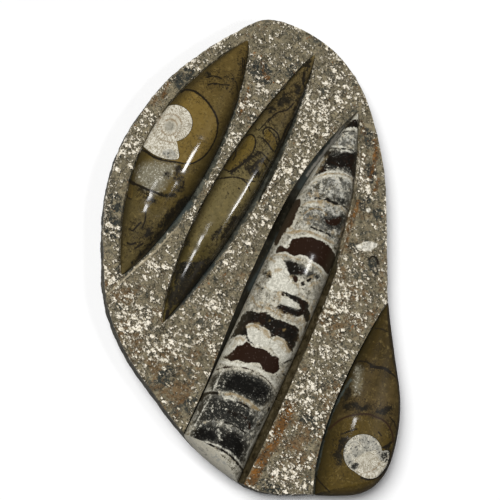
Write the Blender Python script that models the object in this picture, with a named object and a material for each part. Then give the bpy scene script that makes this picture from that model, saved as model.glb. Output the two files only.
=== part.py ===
"""Fossil plate: a slab of dark limestone with four fossils carved free of it in relief.

A long straight orthoceras runs across the slab and is cut off by its lower left edge. Two
spindle-shaped fossils lie beside it, and a third one forms the lower right edge of the slab. A
goniatite is exposed in the face of two of the spindles. Each fossil lies in a trough of its own,
and a groove is left between its flank and the chipped face of the slab.

Sizes are in millimetres and are turned to metres when a mesh is made. The slab lies on its sawn
back, with +Z up, +Y along its length and the origin in the middle of the back.
"""

from math import atan2, cos, hypot, pi, radians, sin, sqrt, tanh

import bmesh
import bpy
import numpy as np
from mathutils import Vector, noise

MM = 0.001

# Slab: the points of its widest outline, clockwise from the top.
OUTLINE = (
    (9.5, 152.5), (32.5, 146.5), (55.5, 131), (72, 108), (81.5, 80.5), (87, 52), (88.5, 22.5),
    (88.5, -8.5), (89, -35.5), (92, -62.5), (95.5, -92), (93, -117.5), (85, -139.5), (69, -151.5),
    (39.5, -152.5), (7.5, -151.5), (-12.5, -141.5), (-38, -120.5), (-60.5, -93), (-80.5, -64),
    (-93, -33), (-95.5, 0), (-94.5, 31.5), (-88, 59.5), (-75, 85.5), (-54.5, 112), (-29, 132.5),
    (-7.5, 145.5),
)
FACE_LEVEL = 26.0  # height of the chipped face above the back
RIM_DROP = 1.6  # how far the face falls towards its rim
RIM_SHARE = 0.16  # share of the radius over which it falls
RIM_INSET = 2.3
BACK_INSET = 1.2  # worn arris round the sawn back
WALL_TOP = 16.0  # height where the wall starts to round over
SHOULDER_REACH = 14.0
SHOULDER_HEIGHT = 18.0
GRID_CELLS = 34
ENVELOPE_POINTS = 100

# Fossils
GAP = 0.3  # clear space round a goniatite
KEEL_GAP = 0.7  # clear space under a fossil, which its facets don't close
STATIONS = 20  # rings along a fossil
RING_POINTS = 24
TROUGH_OVERRUN = 2.0  # how far a trough runs on past the tips of its fossil
CUT_TOP = 45.0
GROOVE_STOPS = (0, 0.25, 0.5, 0.75, 1)  # shares of the way from foot to tip
CREST_POWER = 0.7  # under 1 makes the ridge rise sooner from the tips
TROUGH_POWER = 0.6


class Fossil:
    """A body lying on the line from its foot to its tip. Left and right are seen looking from
    foot to tip. Each side has its own half width, shape and groove."""

    def __init__(self, name, foot, tip, half, groove, crest, depth):
        self.name = name
        self.foot = Vector(foot)
        self.tip = Vector(tip)
        self.half = half  # half width to the left and to the right of the line
        self.groove = groove  # for each side, its width at GROOVE_STOPS
        self.crest = crest  # height of the ridge above the back
        self.depth = depth  # depth of the trough below the face
        self.length = (self.tip - self.foot).length
        self.along = (self.tip - self.foot) / self.length
        self.left = Vector((-self.along.y, self.along.x))

    def span(self, t, with_groove):
        """Where the middle of the body or of its trough lies, and its half width."""
        reaches = []
        for side in (0, 1):
            groove = np.interp(t, GROOVE_STOPS, self.groove[side]) * with_groove
            reaches.append((self.half[side] + groove) * self.swell(t, side))
        return (reaches[0] - reaches[1]) / 2, (reaches[0] + reaches[1]) / 2

    def ridge(self, t):
        return FACE_LEVEL + (self.crest - FACE_LEVEL) * self.rise(t) ** CREST_POWER

    def floor(self, t, across):
        """Height of the trough's floor at a distance to the left of the line."""
        middle, half = self.span(t, True)
        share = min(abs(across - middle) / half, 1.0) if half > 0 else 1.0
        deepest = self.depth * self.rise(t) ** TROUGH_POWER
        return FACE_LEVEL - deepest * sqrt(1 - share * share)

    def place(self, t, across, height):
        across -= self.drift(t)
        point = self.foot + self.along * (t * self.length) + self.left * across
        return Vector((point.x, point.y, height))


class Spindle(Fossil):
    """Pointed at both ends."""

    def __init__(self, lean, fullness, **common):
        super().__init__(**common)
        self.lean = lean  # for each side, under 1 moves its widest place towards the foot
        self.fullness = fullness  # for each side, under 1 makes it fuller

    def swell(self, t, side):
        """Share of the full half width at t, from 0 at the foot to 1 at the tip."""
        return sin(pi * t ** self.lean[side]) ** self.fullness[side]

    def rise(self, t):
        return sin(pi * t)

    def drift(self, t):
        return 0.0


class Cone(Fossil):
    """Pointed at its tip, of one width from some way down, and bent a little to its right."""

    def __init__(self, taper, bow, bow_lean, **common):
        super().__init__(**common)
        self.taper = taper  # for each side, the length over which it comes to its full width
        self.bow = bow
        self.bow_lean = bow_lean

    def swell(self, t, side):
        return tanh((1 - t) * self.length / self.taper[side])

    def rise(self, t):
        return self.swell(t, 0)

    def drift(self, t):
        return self.bow * sin(pi * min(max(t, 0.0), 1.0) ** self.bow_lean)


ORTHOCERAS = Cone(
    name="orthoceras",
    foot=(-36.4, -152.3),
    tip=(68.0, 91.5),
    half=(21.6, 21.6),
    taper=(61.0, 58.0),
    bow=3.5,
    bow_lean=1.37,
    groove=((1.0, 1.0, 5.2, 7.0, 8.0), (3.5, 4.8, 4.2, 2.8, 4.6)),
    crest=33.0,
    depth=14.0,
)
LEFT_SPINDLE = Spindle(
    name="spindle_left",
    foot=(-82, -13),
    tip=(-3, 136),
    half=(26.5, 16.5),
    lean=(1.0, 1.05),
    fullness=(0.85, 0.67),
    groove=((1.0, 1.0, 1.0, 1.0, 1.0), (6.8, 5.6, 4.4, 2.9, 1.5)),
    crest=33.0,
    depth=9.0,
)
MIDDLE_SPINDLE = Spindle(
    name="spindle_middle",
    foot=(-56, -43),
    tip=(40, 127.5),
    half=(15.0, 11.7),
    lean=(0.89, 1.07),
    fullness=(0.8, 0.71),
    groove=((1.1, 1.0, 0.8, 0.8, 0.8), (3.2, 3.6, 4.0, 3.5, 2.9)),
    crest=32.0,
    depth=9.0,
)
RIGHT_SPINDLE = Spindle(
    name="spindle_right",
    foot=(48.8, -191.2),
    tip=(88.3, -27.3),
    half=(20.8, 27.0),
    lean=(0.73, 0.8),
    fullness=(0.89, 0.8),
    groove=((2.0, 1.8, 1.5, 1.3, 1.0), (1.0, 1.0, 1.0, 1.0, 1.0)),
    crest=33.0,
    depth=14.0,
)

# Goniatites: a coil seen from its side. Its last whorl swells out and ends in a square mouth.
GONIATITE_FLOOR = 20.5  # height of the pocket's floor above the back
WHORL_START = 0.64  # share of the turn, from the mouth, where the last whorl starts to swell
WHORL_FULL = 0.83
GONIATITES = (
    # name, centre, mouth direction in degrees, radius of the coil, radius of the last whorl
    ("goniatite_left", (-50.2, 82.0), -80, 11.8, 23.4, LEFT_SPINDLE),
    ("goniatite_right", (69.0, -125.1), 8, 12.2, 17.2, RIGHT_SPINDLE),
)
COIL_POINTS = 40


def material(name, colour, roughness):
    made = bpy.data.materials.new(name)
    made.use_nodes = True
    shader = made.node_tree.nodes["Principled BSDF"]
    shader.inputs["Base Color"].default_value = (*colour, 1)
    shader.inputs["Roughness"].default_value = roughness
    shader.inputs["Metallic"].default_value = 0.0
    return made


def add_object(name, bm, surface):
    """An object from a bmesh in millimetres."""
    bmesh.ops.remove_doubles(bm, verts=bm.verts, dist=0.001)
    bmesh.ops.recalc_face_normals(bm, faces=bm.faces)
    bmesh.ops.scale(bm, vec=(MM, MM, MM), verts=bm.verts)
    mesh = bpy.data.meshes.new(name)
    bm.to_mesh(mesh)
    bm.free()
    mesh.materials.append(surface)
    made = bpy.data.objects.new(name, mesh)
    bpy.context.scene.collection.objects.link(made)
    return made


def helper(made):
    """Keeps a cutter out of the model."""
    made.hide_render = True
    made.display_type = "WIRE"
    return made


def boolean(made, operation, other):
    cut = made.modifiers.new(f"{operation.lower()}_{other.name}", "BOOLEAN")
    cut.operation = operation
    cut.solver = "EXACT"
    cut.object = other


def shade(made, angle):
    made.data.shade_smooth()
    made.data.set_sharp_from_angle(angle=radians(angle))


def smooth_loop(points, steps):
    """A closed Catmull-Rom curve through the points."""
    found = []
    for i in range(len(points)):
        before, here, after, beyond = (
            Vector(points[(i + k) % len(points)]) for k in (-1, 0, 1, 2)
        )
        for step in range(steps):
            t = step / steps
            found.append(
                0.5
                * (
                    2 * here
                    + (after - before) * t
                    + (2 * before - 5 * here + 4 * after - beyond) * t**2
                    + (3 * here - before - 3 * after + beyond) * t**3
                )
            )
    return found


def outline_by_angle():
    """Angles round the origin and the outline's distance at each."""
    pairs = sorted((atan2(p.y, p.x), p.length) for p in smooth_loop(OUTLINE, 12))
    angles, reaches = zip(*pairs)
    return np.array(angles), np.array(reaches)


ANGLES, REACHES = outline_by_angle()


def reach(angle):
    return float(np.interp(angle, ANGLES, REACHES, period=2 * pi))


def smoothstep(value, low, high):
    t = min(max((value - low) / (high - low), 0.0), 1.0)
    return t * t * (3 - 2 * t)


def shoulder_inset(z):
    """How far the rounded edge of the slab lies inside its widest outline at a height."""
    if z <= WALL_TOP:
        return 0.6 * max(z - 8.0, 0.0) / (WALL_TOP - 8.0)
    share = min((z - WALL_TOP) / SHOULDER_HEIGHT, 1.0)
    return 0.6 + SHOULDER_REACH * (1 - sqrt(1 - share * share))


def square_to_disc(a, b):
    """Shirley and Chiu's map from a square of half side 1 to a disc: share of radius, angle."""
    if a == 0 and b == 0:
        return 0.0, 0.0
    if abs(a) > abs(b):
        share, angle = a, pi / 4 * b / a
    else:
        share, angle = b, pi / 2 - pi / 4 * a / b
    if share < 0:
        share, angle = -share, angle + pi
    return share, angle


def chipped(x, y):
    """Relief that the chisel left on the face, in lumps about 9 mm and 5 mm across."""
    coarse = noise.noise(Vector((x / 9.0, y / 9.0, 0.3)))
    fine = noise.noise(Vector((x / 4.6, y / 4.6, 7.1)))
    return 0.75 * coarse + 0.55 * fine


def face_height(share, x, y):
    """Height of the slab's face, given the share of the way from its middle to its rim."""
    fall = smoothstep(share, 1 - RIM_SHARE, 1.0)
    return FACE_LEVEL - RIM_DROP * fall + chipped(x, y) * (1 - 0.6 * fall)


def rim_point(angle, inset, z, rough):
    """A point on the slab's side. The wall is knapped, so it wavers by up to rough."""
    x, y = cos(angle), sin(angle)
    around = reach(angle)
    waver = rough * noise.noise(Vector((x * around / 7.0, y * around / 7.0, z / 5.0)))
    return Vector((x * (around - inset + waver), y * (around - inset + waver), z))


def close_below(bm, border, rings):
    """Runs a border down through rings of (height, inset, roughness) and fills the last."""
    for z, inset, rough in rings:
        made = bmesh.ops.extrude_edge_only(bm, edges=border)["geom"]
        for vert in (g for g in made if isinstance(g, bmesh.types.BMVert)):
            vert.co = rim_point(atan2(vert.co.y, vert.co.x), inset, z, rough)
        border = [g for g in made if isinstance(g, bmesh.types.BMEdge) and g.is_boundary]
    bmesh.ops.contextual_create(bm, geom=border)


def slab_mesh():
    """A square grid drawn into the outline for the face, with its border run down to the back."""
    bm = bmesh.new()
    bmesh.ops.create_grid(bm, x_segments=GRID_CELLS, y_segments=GRID_CELLS, size=1)
    for vert in bm.verts:
        share, angle = square_to_disc(vert.co.x, vert.co.y)
        radius = share * (reach(angle) - RIM_INSET)
        x, y = radius * cos(angle), radius * sin(angle)
        vert.co = (x, y, face_height(share, x, y))
    rings = (
        (20.5, shoulder_inset(20.5), 0.7),
        (14.5, shoulder_inset(14.5), 0.9),
        (8.0, 0.0, 0.9),
        (1.6, 0.2, 0.6),
        (0.0, BACK_INSET, 0.3),
    )
    close_below(bm, [edge for edge in bm.edges if edge.is_boundary], rings)
    return bm


def envelope_mesh():
    """The slab's outline with its rounded edge, which also trims the fossils that reach it."""
    heights = (33.6, 32.7, 31.5, 30.0, 28.0, 25.5, 23.0, 20.0, 16.0, 12.0, 8.0, 0.0, -5.0)
    rings = [(z, shoulder_inset(z), 0.0) for z in heights]
    bm = bmesh.new()
    bmesh.ops.create_circle(bm, segments=ENVELOPE_POINTS, radius=1, cap_ends=True)
    for vert in bm.verts:
        vert.co = rim_point(atan2(vert.co.y, vert.co.x), rings[0][1], rings[0][0], 0.0)
    close_below(bm, [edge for edge in bm.edges if edge.is_boundary], rings[1:])
    return bm


def ring_mesh(section):
    """A closed body from a UV sphere: its poles are the tips, and section(t, turn) gives the
    point of the ring at t, where turn is 0 on the right, a quarter turn on top."""
    bm = bmesh.new()
    bmesh.ops.create_uvsphere(bm, u_segments=RING_POINTS, v_segments=STATIONS, radius=1)
    for vert in bm.verts:
        t = 1 - atan2(hypot(vert.co.x, vert.co.y), vert.co.z) / pi
        turn = atan2(vert.co.y, vert.co.x)
        vert.co = section(t, turn)
    return bm


def fossil_mesh(fossil):
    """Crown above and keel below, meeting along the bottom of the groove on each side."""

    def section(t, turn):
        middle, half = fossil.span(t, False)
        across = middle - half * cos(turn)
        if sin(turn) < -1e-6:
            return fossil.place(t, across, fossil.floor(t, across) + KEEL_GAP)
        edge = middle - half * (1 if cos(turn) > 0 else -1)
        low = fossil.floor(t, edge) + KEEL_GAP
        return fossil.place(t, across, low + (fossil.ridge(t) - low) * sin(turn))

    return ring_mesh(section)


def trough_mesh(fossil):
    """The cutter that sinks a fossil's trough: a rounded floor under straight walls."""
    overrun = TROUGH_OVERRUN / fossil.length

    def section(t, turn):
        middle, half = fossil.span(t, True)
        stretched = t + overrun * (2 * t - 1)
        if sin(turn) > 1e-6:
            across = middle - half * min(max(1.3 * cos(turn), -1.0), 1.0)
            return fossil.place(stretched, across, CUT_TOP)
        across = middle - half * cos(turn)
        return fossil.place(stretched, across, fossil.floor(t, across))

    return ring_mesh(section)


def coil_mesh(centre, mouth, coil, whorl, clear, foot, head):
    """A prism on the outline of a coiled shell, grown all round by clear."""
    bm = bmesh.new()
    ring = []
    for i in range(COIL_POINTS + 1):
        turn = i / COIL_POINTS
        radius = coil + (whorl - coil) * smoothstep(turn, WHORL_START, WHORL_FULL) + clear
        angle = radians(mouth) + 2 * pi * turn
        spread = clear / radius * (1 if i == COIL_POINTS else 0)
        x = centre[0] + radius * cos(angle + spread)
        y = centre[1] + radius * sin(angle + spread)
        ring.append(bm.verts.new((x, y, foot)))
    base = bm.faces.new(ring)
    made = bmesh.ops.extrude_face_region(bm, geom=[base])["geom"]
    top = [g for g in made if isinstance(g, bmesh.types.BMVert)]
    bmesh.ops.translate(bm, verts=top, vec=(0, 0, head - foot))
    return bm


def build():
    for old in list(bpy.data.objects):
        bpy.data.objects.remove(old)

    matrix = material("chipped_limestone", (0.16, 0.135, 0.1), 0.85)
    brown = material("polished_brown_limestone", (0.13, 0.095, 0.035), 0.15)
    banded = material("polished_shell_calcite", (0.33, 0.32, 0.28), 0.18)
    cream = material("cream_calcite", (0.55, 0.51, 0.43), 0.25)

    envelope = helper(add_object("envelope", envelope_mesh(), matrix))
    slab = add_object("matrix_slab", slab_mesh(), matrix)
    fossils = (
        (ORTHOCERAS, banded),
        (LEFT_SPINDLE, brown),
        (MIDDLE_SPINDLE, brown),
        (RIGHT_SPINDLE, brown),
    )
    made = {}
    for fossil, surface in fossils:
        trough = add_object(f"{fossil.name}_trough", trough_mesh(fossil), matrix)
        boolean(slab, "DIFFERENCE", helper(trough))
        body = add_object(fossil.name, fossil_mesh(fossil), surface)
        boolean(body, "INTERSECT", envelope)
        made[fossil.name] = body
        shade(body, 40)
    shade(slab, 30)

    for name, centre, mouth, coil, whorl, host in GONIATITES:
        shell = coil_mesh(centre, mouth, coil, whorl, 0.0, GONIATITE_FLOOR + GAP, CUT_TOP)
        goniatite = add_object(name, shell, cream)
        block = helper(add_object(f"{name}_block", fossil_mesh(host), brown))
        boolean(goniatite, "INTERSECT", block)
        boolean(goniatite, "INTERSECT", envelope)
        hole = coil_mesh(centre, mouth, coil, whorl, GAP, GONIATITE_FLOOR, CUT_TOP)
        pocket = helper(add_object(f"{name}_pocket", hole, brown))
        boolean(made[host.name], "DIFFERENCE", pocket)
        shade(goniatite, 40)


build()
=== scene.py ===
"""Looks of the fossil plate: a slab of dark limestone with an orthoceras, three spindle-shaped
fossils and two goniatites carved free of it and polished.

Shapes are worked out in millimetres, from the same driving sizes as the CAD model, and are turned
to metres when a mesh is made. Every piece stands for the CAD node of its name.

The markings are drawn on squared paper: SQUARE millimetres a square, x to the right and y down,
seen from the main view. A mark is a line or a closed patch. Each mesh point is given its distance
to the marks of one colour, and the materials turn that distance into an edge.
"""
from math import atan2, cos, hypot, pi, radians, sin, sqrt, tanh

import bmesh
import bpy
import numpy as np
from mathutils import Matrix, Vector, noise


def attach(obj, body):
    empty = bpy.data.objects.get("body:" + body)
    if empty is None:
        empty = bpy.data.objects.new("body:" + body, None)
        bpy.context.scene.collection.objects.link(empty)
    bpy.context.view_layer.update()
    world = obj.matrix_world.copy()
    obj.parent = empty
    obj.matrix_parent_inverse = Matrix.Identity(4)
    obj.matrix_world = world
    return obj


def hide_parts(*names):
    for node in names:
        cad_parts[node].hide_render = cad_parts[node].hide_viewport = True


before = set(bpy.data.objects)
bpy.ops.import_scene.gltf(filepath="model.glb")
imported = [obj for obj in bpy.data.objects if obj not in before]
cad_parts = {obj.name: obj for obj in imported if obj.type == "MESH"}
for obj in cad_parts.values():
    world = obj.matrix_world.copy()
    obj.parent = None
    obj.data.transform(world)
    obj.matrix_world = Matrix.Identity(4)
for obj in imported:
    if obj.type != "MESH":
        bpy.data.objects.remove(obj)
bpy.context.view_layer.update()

MM = 0.001

# Main view
PAPER = 500  # squares across the drawing, and pixels across the render
SQUARE = 0.63
VIEW_DISTANCE = 1100.0
VIEW_TILT = radians(6.5)
VIEW_SIDE = Vector((-0.78, -0.62, 0.0)).normalized()
VIEW_TARGET = Vector((-1.4, 2.6, 26.0))
SENSOR_WIDTH = 36.0
OVERHEAD = Vector((0, 0, 1))
EYE = VIEW_TARGET + VIEW_DISTANCE * (sin(VIEW_TILT) * VIEW_SIDE + cos(VIEW_TILT) * OVERHEAD)
FORWARD = (VIEW_TARGET - EYE).normalized()
RIGHT = FORWARD.cross(Vector((0, 1, 0))).normalized()
UP = RIGHT.cross(FORWARD)

# Light. Directions point from the plate to the lamp, distances are in metres, colours linear
KEY_STRENGTH = 3.0
KEY_WIDTH = radians(31)
KEY_DIRECTION = (-0.26, 0.34, 1.0)
KEY_DISTANCE = 1.6
SOFTBOX_SIZE = 0.16
SOFTBOX_DISTANCE = 1.5
SOFTBOXES = (
    # name, direction, power in watts
    ("streak_right", (0.43, -0.08, 0.9), 2.3),
    ("streak_left", (-0.2, 0.07, 0.97), 1.5),
)
ROOM_GLOW = (0.07, 0.07, 0.072, 1)
ROOM_WALLS = (0.97, 0.97, 0.97, 1)
FLOOR_COLOUR = (0.95, 0.95, 0.95, 1)
FLOOR_ROUGHNESS = 0.9
FLOOR_HALF = 20000  # half the floor's side, in millimetres
FLOOR_LEVEL = -0.0002  # just under the plate, in metres

# Slab, as in the CAD model
OUTLINE = (
    (9.5, 152.5), (32.5, 146.5), (55.5, 131), (72, 108), (81.5, 80.5), (87, 52), (88.5, 22.5),
    (88.5, -8.5), (89, -35.5), (92, -62.5), (95.5, -92), (93, -117.5), (85, -139.5), (69, -151.5),
    (39.5, -152.5), (7.5, -151.5), (-12.5, -141.5), (-38, -120.5), (-60.5, -93), (-80.5, -64),
    (-93, -33), (-95.5, 0), (-94.5, 31.5), (-88, 59.5), (-75, 85.5), (-54.5, 112), (-29, 132.5),
    (-7.5, 145.5),
)
OUTLINE_STEPS = 12  # points from one corner of the outline to the next
FACE_LEVEL = 26.0
RIM_DROP = 1.6
RIM_SHARE = 0.16
RIM_INSET = 2.6
RIM_CALM = 0.45  # share of the face's relief that the fall to the rim takes off
BACK_INSET = 1.2
ARRIS = 1.5  # height of the worn edge round the back
WALL_LEAN = 0.6  # how far the wall leans in, from LEAN_START up to WALL_TOP
LEAN_START = 8.0
WALL_TOP = 16.0
SHOULDER_REACH = 14.0
SHOULDER_HEIGHT = 18.0

# Roughness of the slab: worked with a point chisel on the face, knapped round the wall
FACE_CELLS = (225, 335)
WALL_HEIGHTS = (23.2, 21.6, 20.0, 18.2, 16.2, 14.0, 11.8, 9.4, 7.0, 4.8, 2.8, 1.4, 0.5, 0.0)
CHISEL_LUMPS = (
    # height, spacing, layer of the noise
    (0.75, 9.0, 0.3),
    (0.55, 4.6, 7.1),
    (0.42, 2.3, 3.7),
)
PIT_DEPTH = 0.9
PIT_SPACING = 3.1
PIT_LAYER = 11.9
PIT_RARITY = 0.28
ARRIS_CLEAR = 0.4  # how far the edge of the back stays inside the CAD model
ARRIS_ROUGH = 0.45
WALL_CLEAR = 0.55  # the same for the wall
WALL_ROUGH = 0.85
WALL_LUMPS = (7.0, 5.0)  # spacing round the wall and up it
WALL_DENTS = 2.4
DENT_SHARE = 0.4
WALL_BIAS = 0.35  # the knapping bites in more than it stands proud
GROUND_EDGE = (radians(-176), radians(-84))  # stretch of the rim that is ground smooth
GROUND_MARGIN = radians(4)
GROUND_CALM = (0.85, 0.8)  # share of the relief that the grinding takes off the face, the wall
GROUND_FACE = (0.93, 0.97)  # share of the way to the rim where the grinding starts
GROUND_WALL = (13, 18)  # heights where it ends

# Outline with its rounded edge, which trims the fossils that reach it
ENVELOPE_POINTS = 360
ENVELOPE_HEIGHTS = (33.6, 32.7, 31.5, 30.0, 28.0, 25.5, 23.0, 20.0, 16.0, 12.0, 8.0, 0.0, -5.0)

# Fossils, as in the CAD model
GAP = 0.3
STEP = 0.52  # spacing of mesh points on a fossil
STATION_STRETCH = 1.15  # the same along it, over STEP
CROWN_GIRTH = 1.3  # length of a crown's arc over its width
TROUGH_STATIONS = 150
TROUGH_POINTS = 56
CROWN_PART = 0.86  # share of a ring's points on the crown
TROUGH_OVERRUN = 2.0
TROUGH_SQUARE = 1.3  # over 1 makes the cutter's sides straight above the trough's floor
CUT_TOP = 45.0
ARCH_SAG = 0.24
ARCH_POWER = 10
GROOVE_STOPS = (0, 0.25, 0.5, 0.75, 1)
CREST_POWER = 0.7
TROUGH_POWER = 0.6
SMALL = 1e-6
MERGE = 0.001  # points nearer than this are one


class Fossil:
    """A body lying on the line from its foot to its tip. Left and right are seen looking from
    foot to tip. Each side has its own half width, shape and groove. A flat of 0 gives an
    elliptic crown and 1 a low arch with steep sides."""

    def __init__(self, name, foot, tip, half, groove, crest, depth, flat=0.0):
        self.name = name
        self.flat = flat
        self.foot = Vector(foot)
        self.tip = Vector(tip)
        self.half = half
        self.groove = groove
        self.crest = crest
        self.depth = depth
        self.length = (self.tip - self.foot).length
        self.along = (self.tip - self.foot) / self.length
        self.left = Vector((-self.along.y, self.along.x))

    def span(self, t, with_groove):
        """Where the middle of the body or of its trough lies, and its half width."""
        reaches = []
        for side in (0, 1):
            groove = np.interp(t, GROOVE_STOPS, self.groove[side]) * with_groove
            reaches.append((self.half[side] + groove) * self.swell(t, side))
        return (reaches[0] - reaches[1]) / 2, (reaches[0] + reaches[1]) / 2

    def ridge(self, t):
        return FACE_LEVEL + (self.crest - FACE_LEVEL) * self.rise(t) ** CREST_POWER

    def floor(self, t, across):
        """Height of the trough's floor at a distance to the left of the line."""
        middle, half = self.span(t, True)
        share = min(abs(across - middle) / half, 1.0) if half > 0 else 1.0
        deepest = self.depth * self.rise(t) ** TROUGH_POWER
        return FACE_LEVEL - deepest * sqrt(1 - share * share)

    def place(self, t, across, height):
        across -= self.drift(t)
        point = self.foot + self.along * (t * self.length) + self.left * across
        return Vector((point.x, point.y, height))


class Spindle(Fossil):
    """Pointed at both ends."""

    def __init__(self, lean, fullness, **common):
        super().__init__(**common)
        self.lean = lean
        self.fullness = fullness

    def swell(self, t, side):
        """Share of the full half width at t, from 0 at the foot to 1 at the tip."""
        return sin(pi * t ** self.lean[side]) ** self.fullness[side]

    def rise(self, t):
        return sin(pi * t)

    def drift(self, t):
        return 0.0


class Cone(Fossil):
    """Pointed at its tip, of one width from some way down, and bent a little to its right."""

    def __init__(self, taper, bow, bow_lean, **common):
        super().__init__(**common)
        self.taper = taper
        self.bow = bow
        self.bow_lean = bow_lean

    def swell(self, t, side):
        return tanh((1 - t) * self.length / self.taper[side])

    def rise(self, t):
        return self.swell(t, 0)

    def drift(self, t):
        return self.bow * sin(pi * min(max(t, 0.0), 1.0) ** self.bow_lean)


ORTHOCERAS = Cone(
    name="orthoceras",
    foot=(-36.4, -152.3),
    tip=(68.0, 91.5),
    half=(21.6, 21.6),
    taper=(61.0, 58.0),
    bow=3.5,
    bow_lean=1.37,
    groove=((1.0, 1.0, 5.2, 7.0, 8.0), (3.5, 4.8, 4.2, 2.8, 4.6)),
    crest=33.0,
    depth=14.0,
)
LEFT_SPINDLE = Spindle(
    name="spindle_left",
    foot=(-82, -13),
    tip=(-3, 136),
    half=(26.5, 16.5),
    lean=(1.0, 1.05),
    fullness=(0.85, 0.67),
    groove=((1.0, 1.0, 1.0, 1.0, 1.0), (6.8, 5.6, 4.4, 2.9, 1.5)),
    crest=33.0,
    depth=9.0,
)
MIDDLE_SPINDLE = Spindle(
    name="spindle_middle",
    foot=(-56, -43),
    tip=(40, 127.5),
    half=(15.0, 11.7),
    lean=(0.89, 1.07),
    fullness=(0.8, 0.71),
    groove=((1.1, 1.0, 0.8, 0.8, 0.8), (3.2, 3.6, 4.0, 3.5, 2.9)),
    crest=32.0,
    depth=9.0,
    flat=0.8,
)
RIGHT_SPINDLE = Spindle(
    name="spindle_right",
    foot=(48.8, -191.2),
    tip=(88.3, -27.3),
    half=(20.8, 27.0),
    lean=(0.73, 0.8),
    fullness=(0.89, 0.8),
    groove=((2.0, 1.8, 1.5, 1.3, 1.0), (1.0, 1.0, 1.0, 1.0, 1.0)),
    crest=33.0,
    depth=14.0,
)
FOSSILS = (ORTHOCERAS, LEFT_SPINDLE, MIDDLE_SPINDLE, RIGHT_SPINDLE)

# Goniatites, as in the CAD model
GONIATITE_FLOOR = 20.5
WHORL_START = 0.64
WHORL_FULL = 0.83
COIL_POINTS = 320
COIL_LIP = 2.6  # rounding of the mouth's outer corner
COIL_RIBS = 38  # ribs in a turn
GONIATITES = (
    # name, centre, mouth direction in degrees, radius of the coil, radius of the last whorl, host
    ("goniatite_left", (-50.2, 82.0), -80, 11.8, 23.4, LEFT_SPINDLE),
    ("goniatite_right", (69.0, -125.1), 8, 12.2, 17.2, RIGHT_SPINDLE),
)

# Markings of the orthoceras. A line is a half width in squares and its points, a patch its points.
ORTHOCERAS_DARK_PATCHES = (
    ((344, 129), (347, 124.5), (350.5, 121.2), (355, 119), (358.4, 119.6), (358.4, 124),
     (358.2, 128), (353, 127.6), (348.5, 128)),
    ((325, 163), (328, 157), (334, 156), (339, 155.5), (342, 153.7), (348, 153.3), (354, 154.5),
     (356, 158), (356.5, 165), (356, 175), (353, 176), (349.5, 168), (343, 166.5), (336, 166),
     (330, 165.5)),
    ((315.5, 175), (320, 169), (324.5, 166), (325.5, 170), (320, 173.5)),
    ((323, 154), (327, 150.5), (331, 152), (328, 156)),
    ((286.4, 262.6), (291.2, 261.4), (296.7, 263.8), (297.5, 267), (304, 269.8), (303.3, 274.7),
     (298, 274.7), (293.6, 275.3), (288.8, 272.9), (287, 267.4)),
    ((240.5, 318), (244.5, 312.7), (252, 311.4), (258.6, 312.7), (264.6, 312), (269.3, 315.4),
     (275.3, 318.8), (284, 321.4), (291.4, 324.8), (296.8, 326.8), (298.8, 332), (298.8, 337.5),
     (295.4, 345.5), (292.7, 351.6), (289.4, 349.6), (286, 343.5), (282, 339), (276, 336),
     (271, 338), (262, 345), (250, 343), (245.2, 336.2), (241.2, 336), (234.5, 336.2),
     (230.5, 337.5), (233.8, 332), (237.2, 325.5)),
    ((284, 291), (290, 293), (296, 296.5), (303, 299.5), (308, 302.5), (309, 308), (305, 314),
     (299, 316.5), (292, 315.5), (296.5, 312.5), (300, 308.5), (298, 303.5), (292, 299.5),
     (286, 295.5)),
    ((277.5, 306), (284, 304.6), (288, 307.5), (293, 309.5), (298, 311), (296, 315.5),
     (288, 314.5), (280.5, 311.5)),
    ((303.5, 309), (308.5, 309), (310.5, 316), (309, 321.5), (305, 320.5), (303.5, 315)),
)
ORTHOCERAS_DARK_LINES = (
    (0.6, ((343, 132.3), (348, 131), (354, 131.4))),
    (0.6, ((327, 149.4), (332.7, 148), (338.8, 148.6), (345, 149))),
    (0.5, ((333, 151.5), (335, 149.8), (337, 151))),
    (0.6, ((315, 199), (318, 197.8), (322, 199.4), (328.3, 199.2))),
    (1.4, ((327, 198.6), (331.5, 202), (337, 203.8))),
    (0.5, ((336, 204.2), (340, 204.5), (343.5, 206), (349, 211))),
    (0.9, ((311, 227), (317.4, 229.7), (324.4, 232.3), (330.2, 235.5))),
    (1.0, ((265.8, 272.9), (270, 276.5))),
    (0.6, ((256.7, 284.4), (260.3, 287.4), (263, 289))),
    (0.9, ((283.3, 292.3), (288.8, 294.7), (294.2, 297.7))),
    (0.9, ((301.8, 283), (303.6, 284.6))),
    (1.3, ((308, 280.6), (310.6, 278.6))),
    (0.6, ((284, 363), (288, 361), (291.4, 359.6))),
    (0.6, ((282.3, 373.7), (287, 376.4))),
    (1.6, ((201, 399.6), (205.3, 394.4), (210.2, 392.8), (217.2, 393.3))),
    (1.1, ((237.5, 401.8), (243.9, 404.6), (250.2, 408.8))),
    (1.6, ((228.5, 411.5), (233, 414), (236, 414.5))),
    (1.0, ((240.6, 415), (243, 416))),
    (0.7, ((224.9, 422), (233.3, 425), (240.4, 429), (245.3, 433.3))),
    (0.9, ((198.5, 443), (204.6, 443.5), (211.6, 445.3), (218.6, 448.4), (225.6, 452.3),
            (231.9, 457.2), (237.5, 463.5), (243.5, 471))),
    (0.9, ((269.3, 408), (268.4, 410))),
    (0.8, ((259.6, 424), (258.6, 425.2))),
    (0.9, ((260, 433), (258, 437))),
    (0.5, ((354.4, 172), (353.8, 181), (353.1, 195), (350.6, 214), (346.1, 225.3), (341, 236),
           (337.5, 244))),
    (0.4, ((307, 312), (308.6, 318), (306, 326), (303.5, 334))),
)
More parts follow.
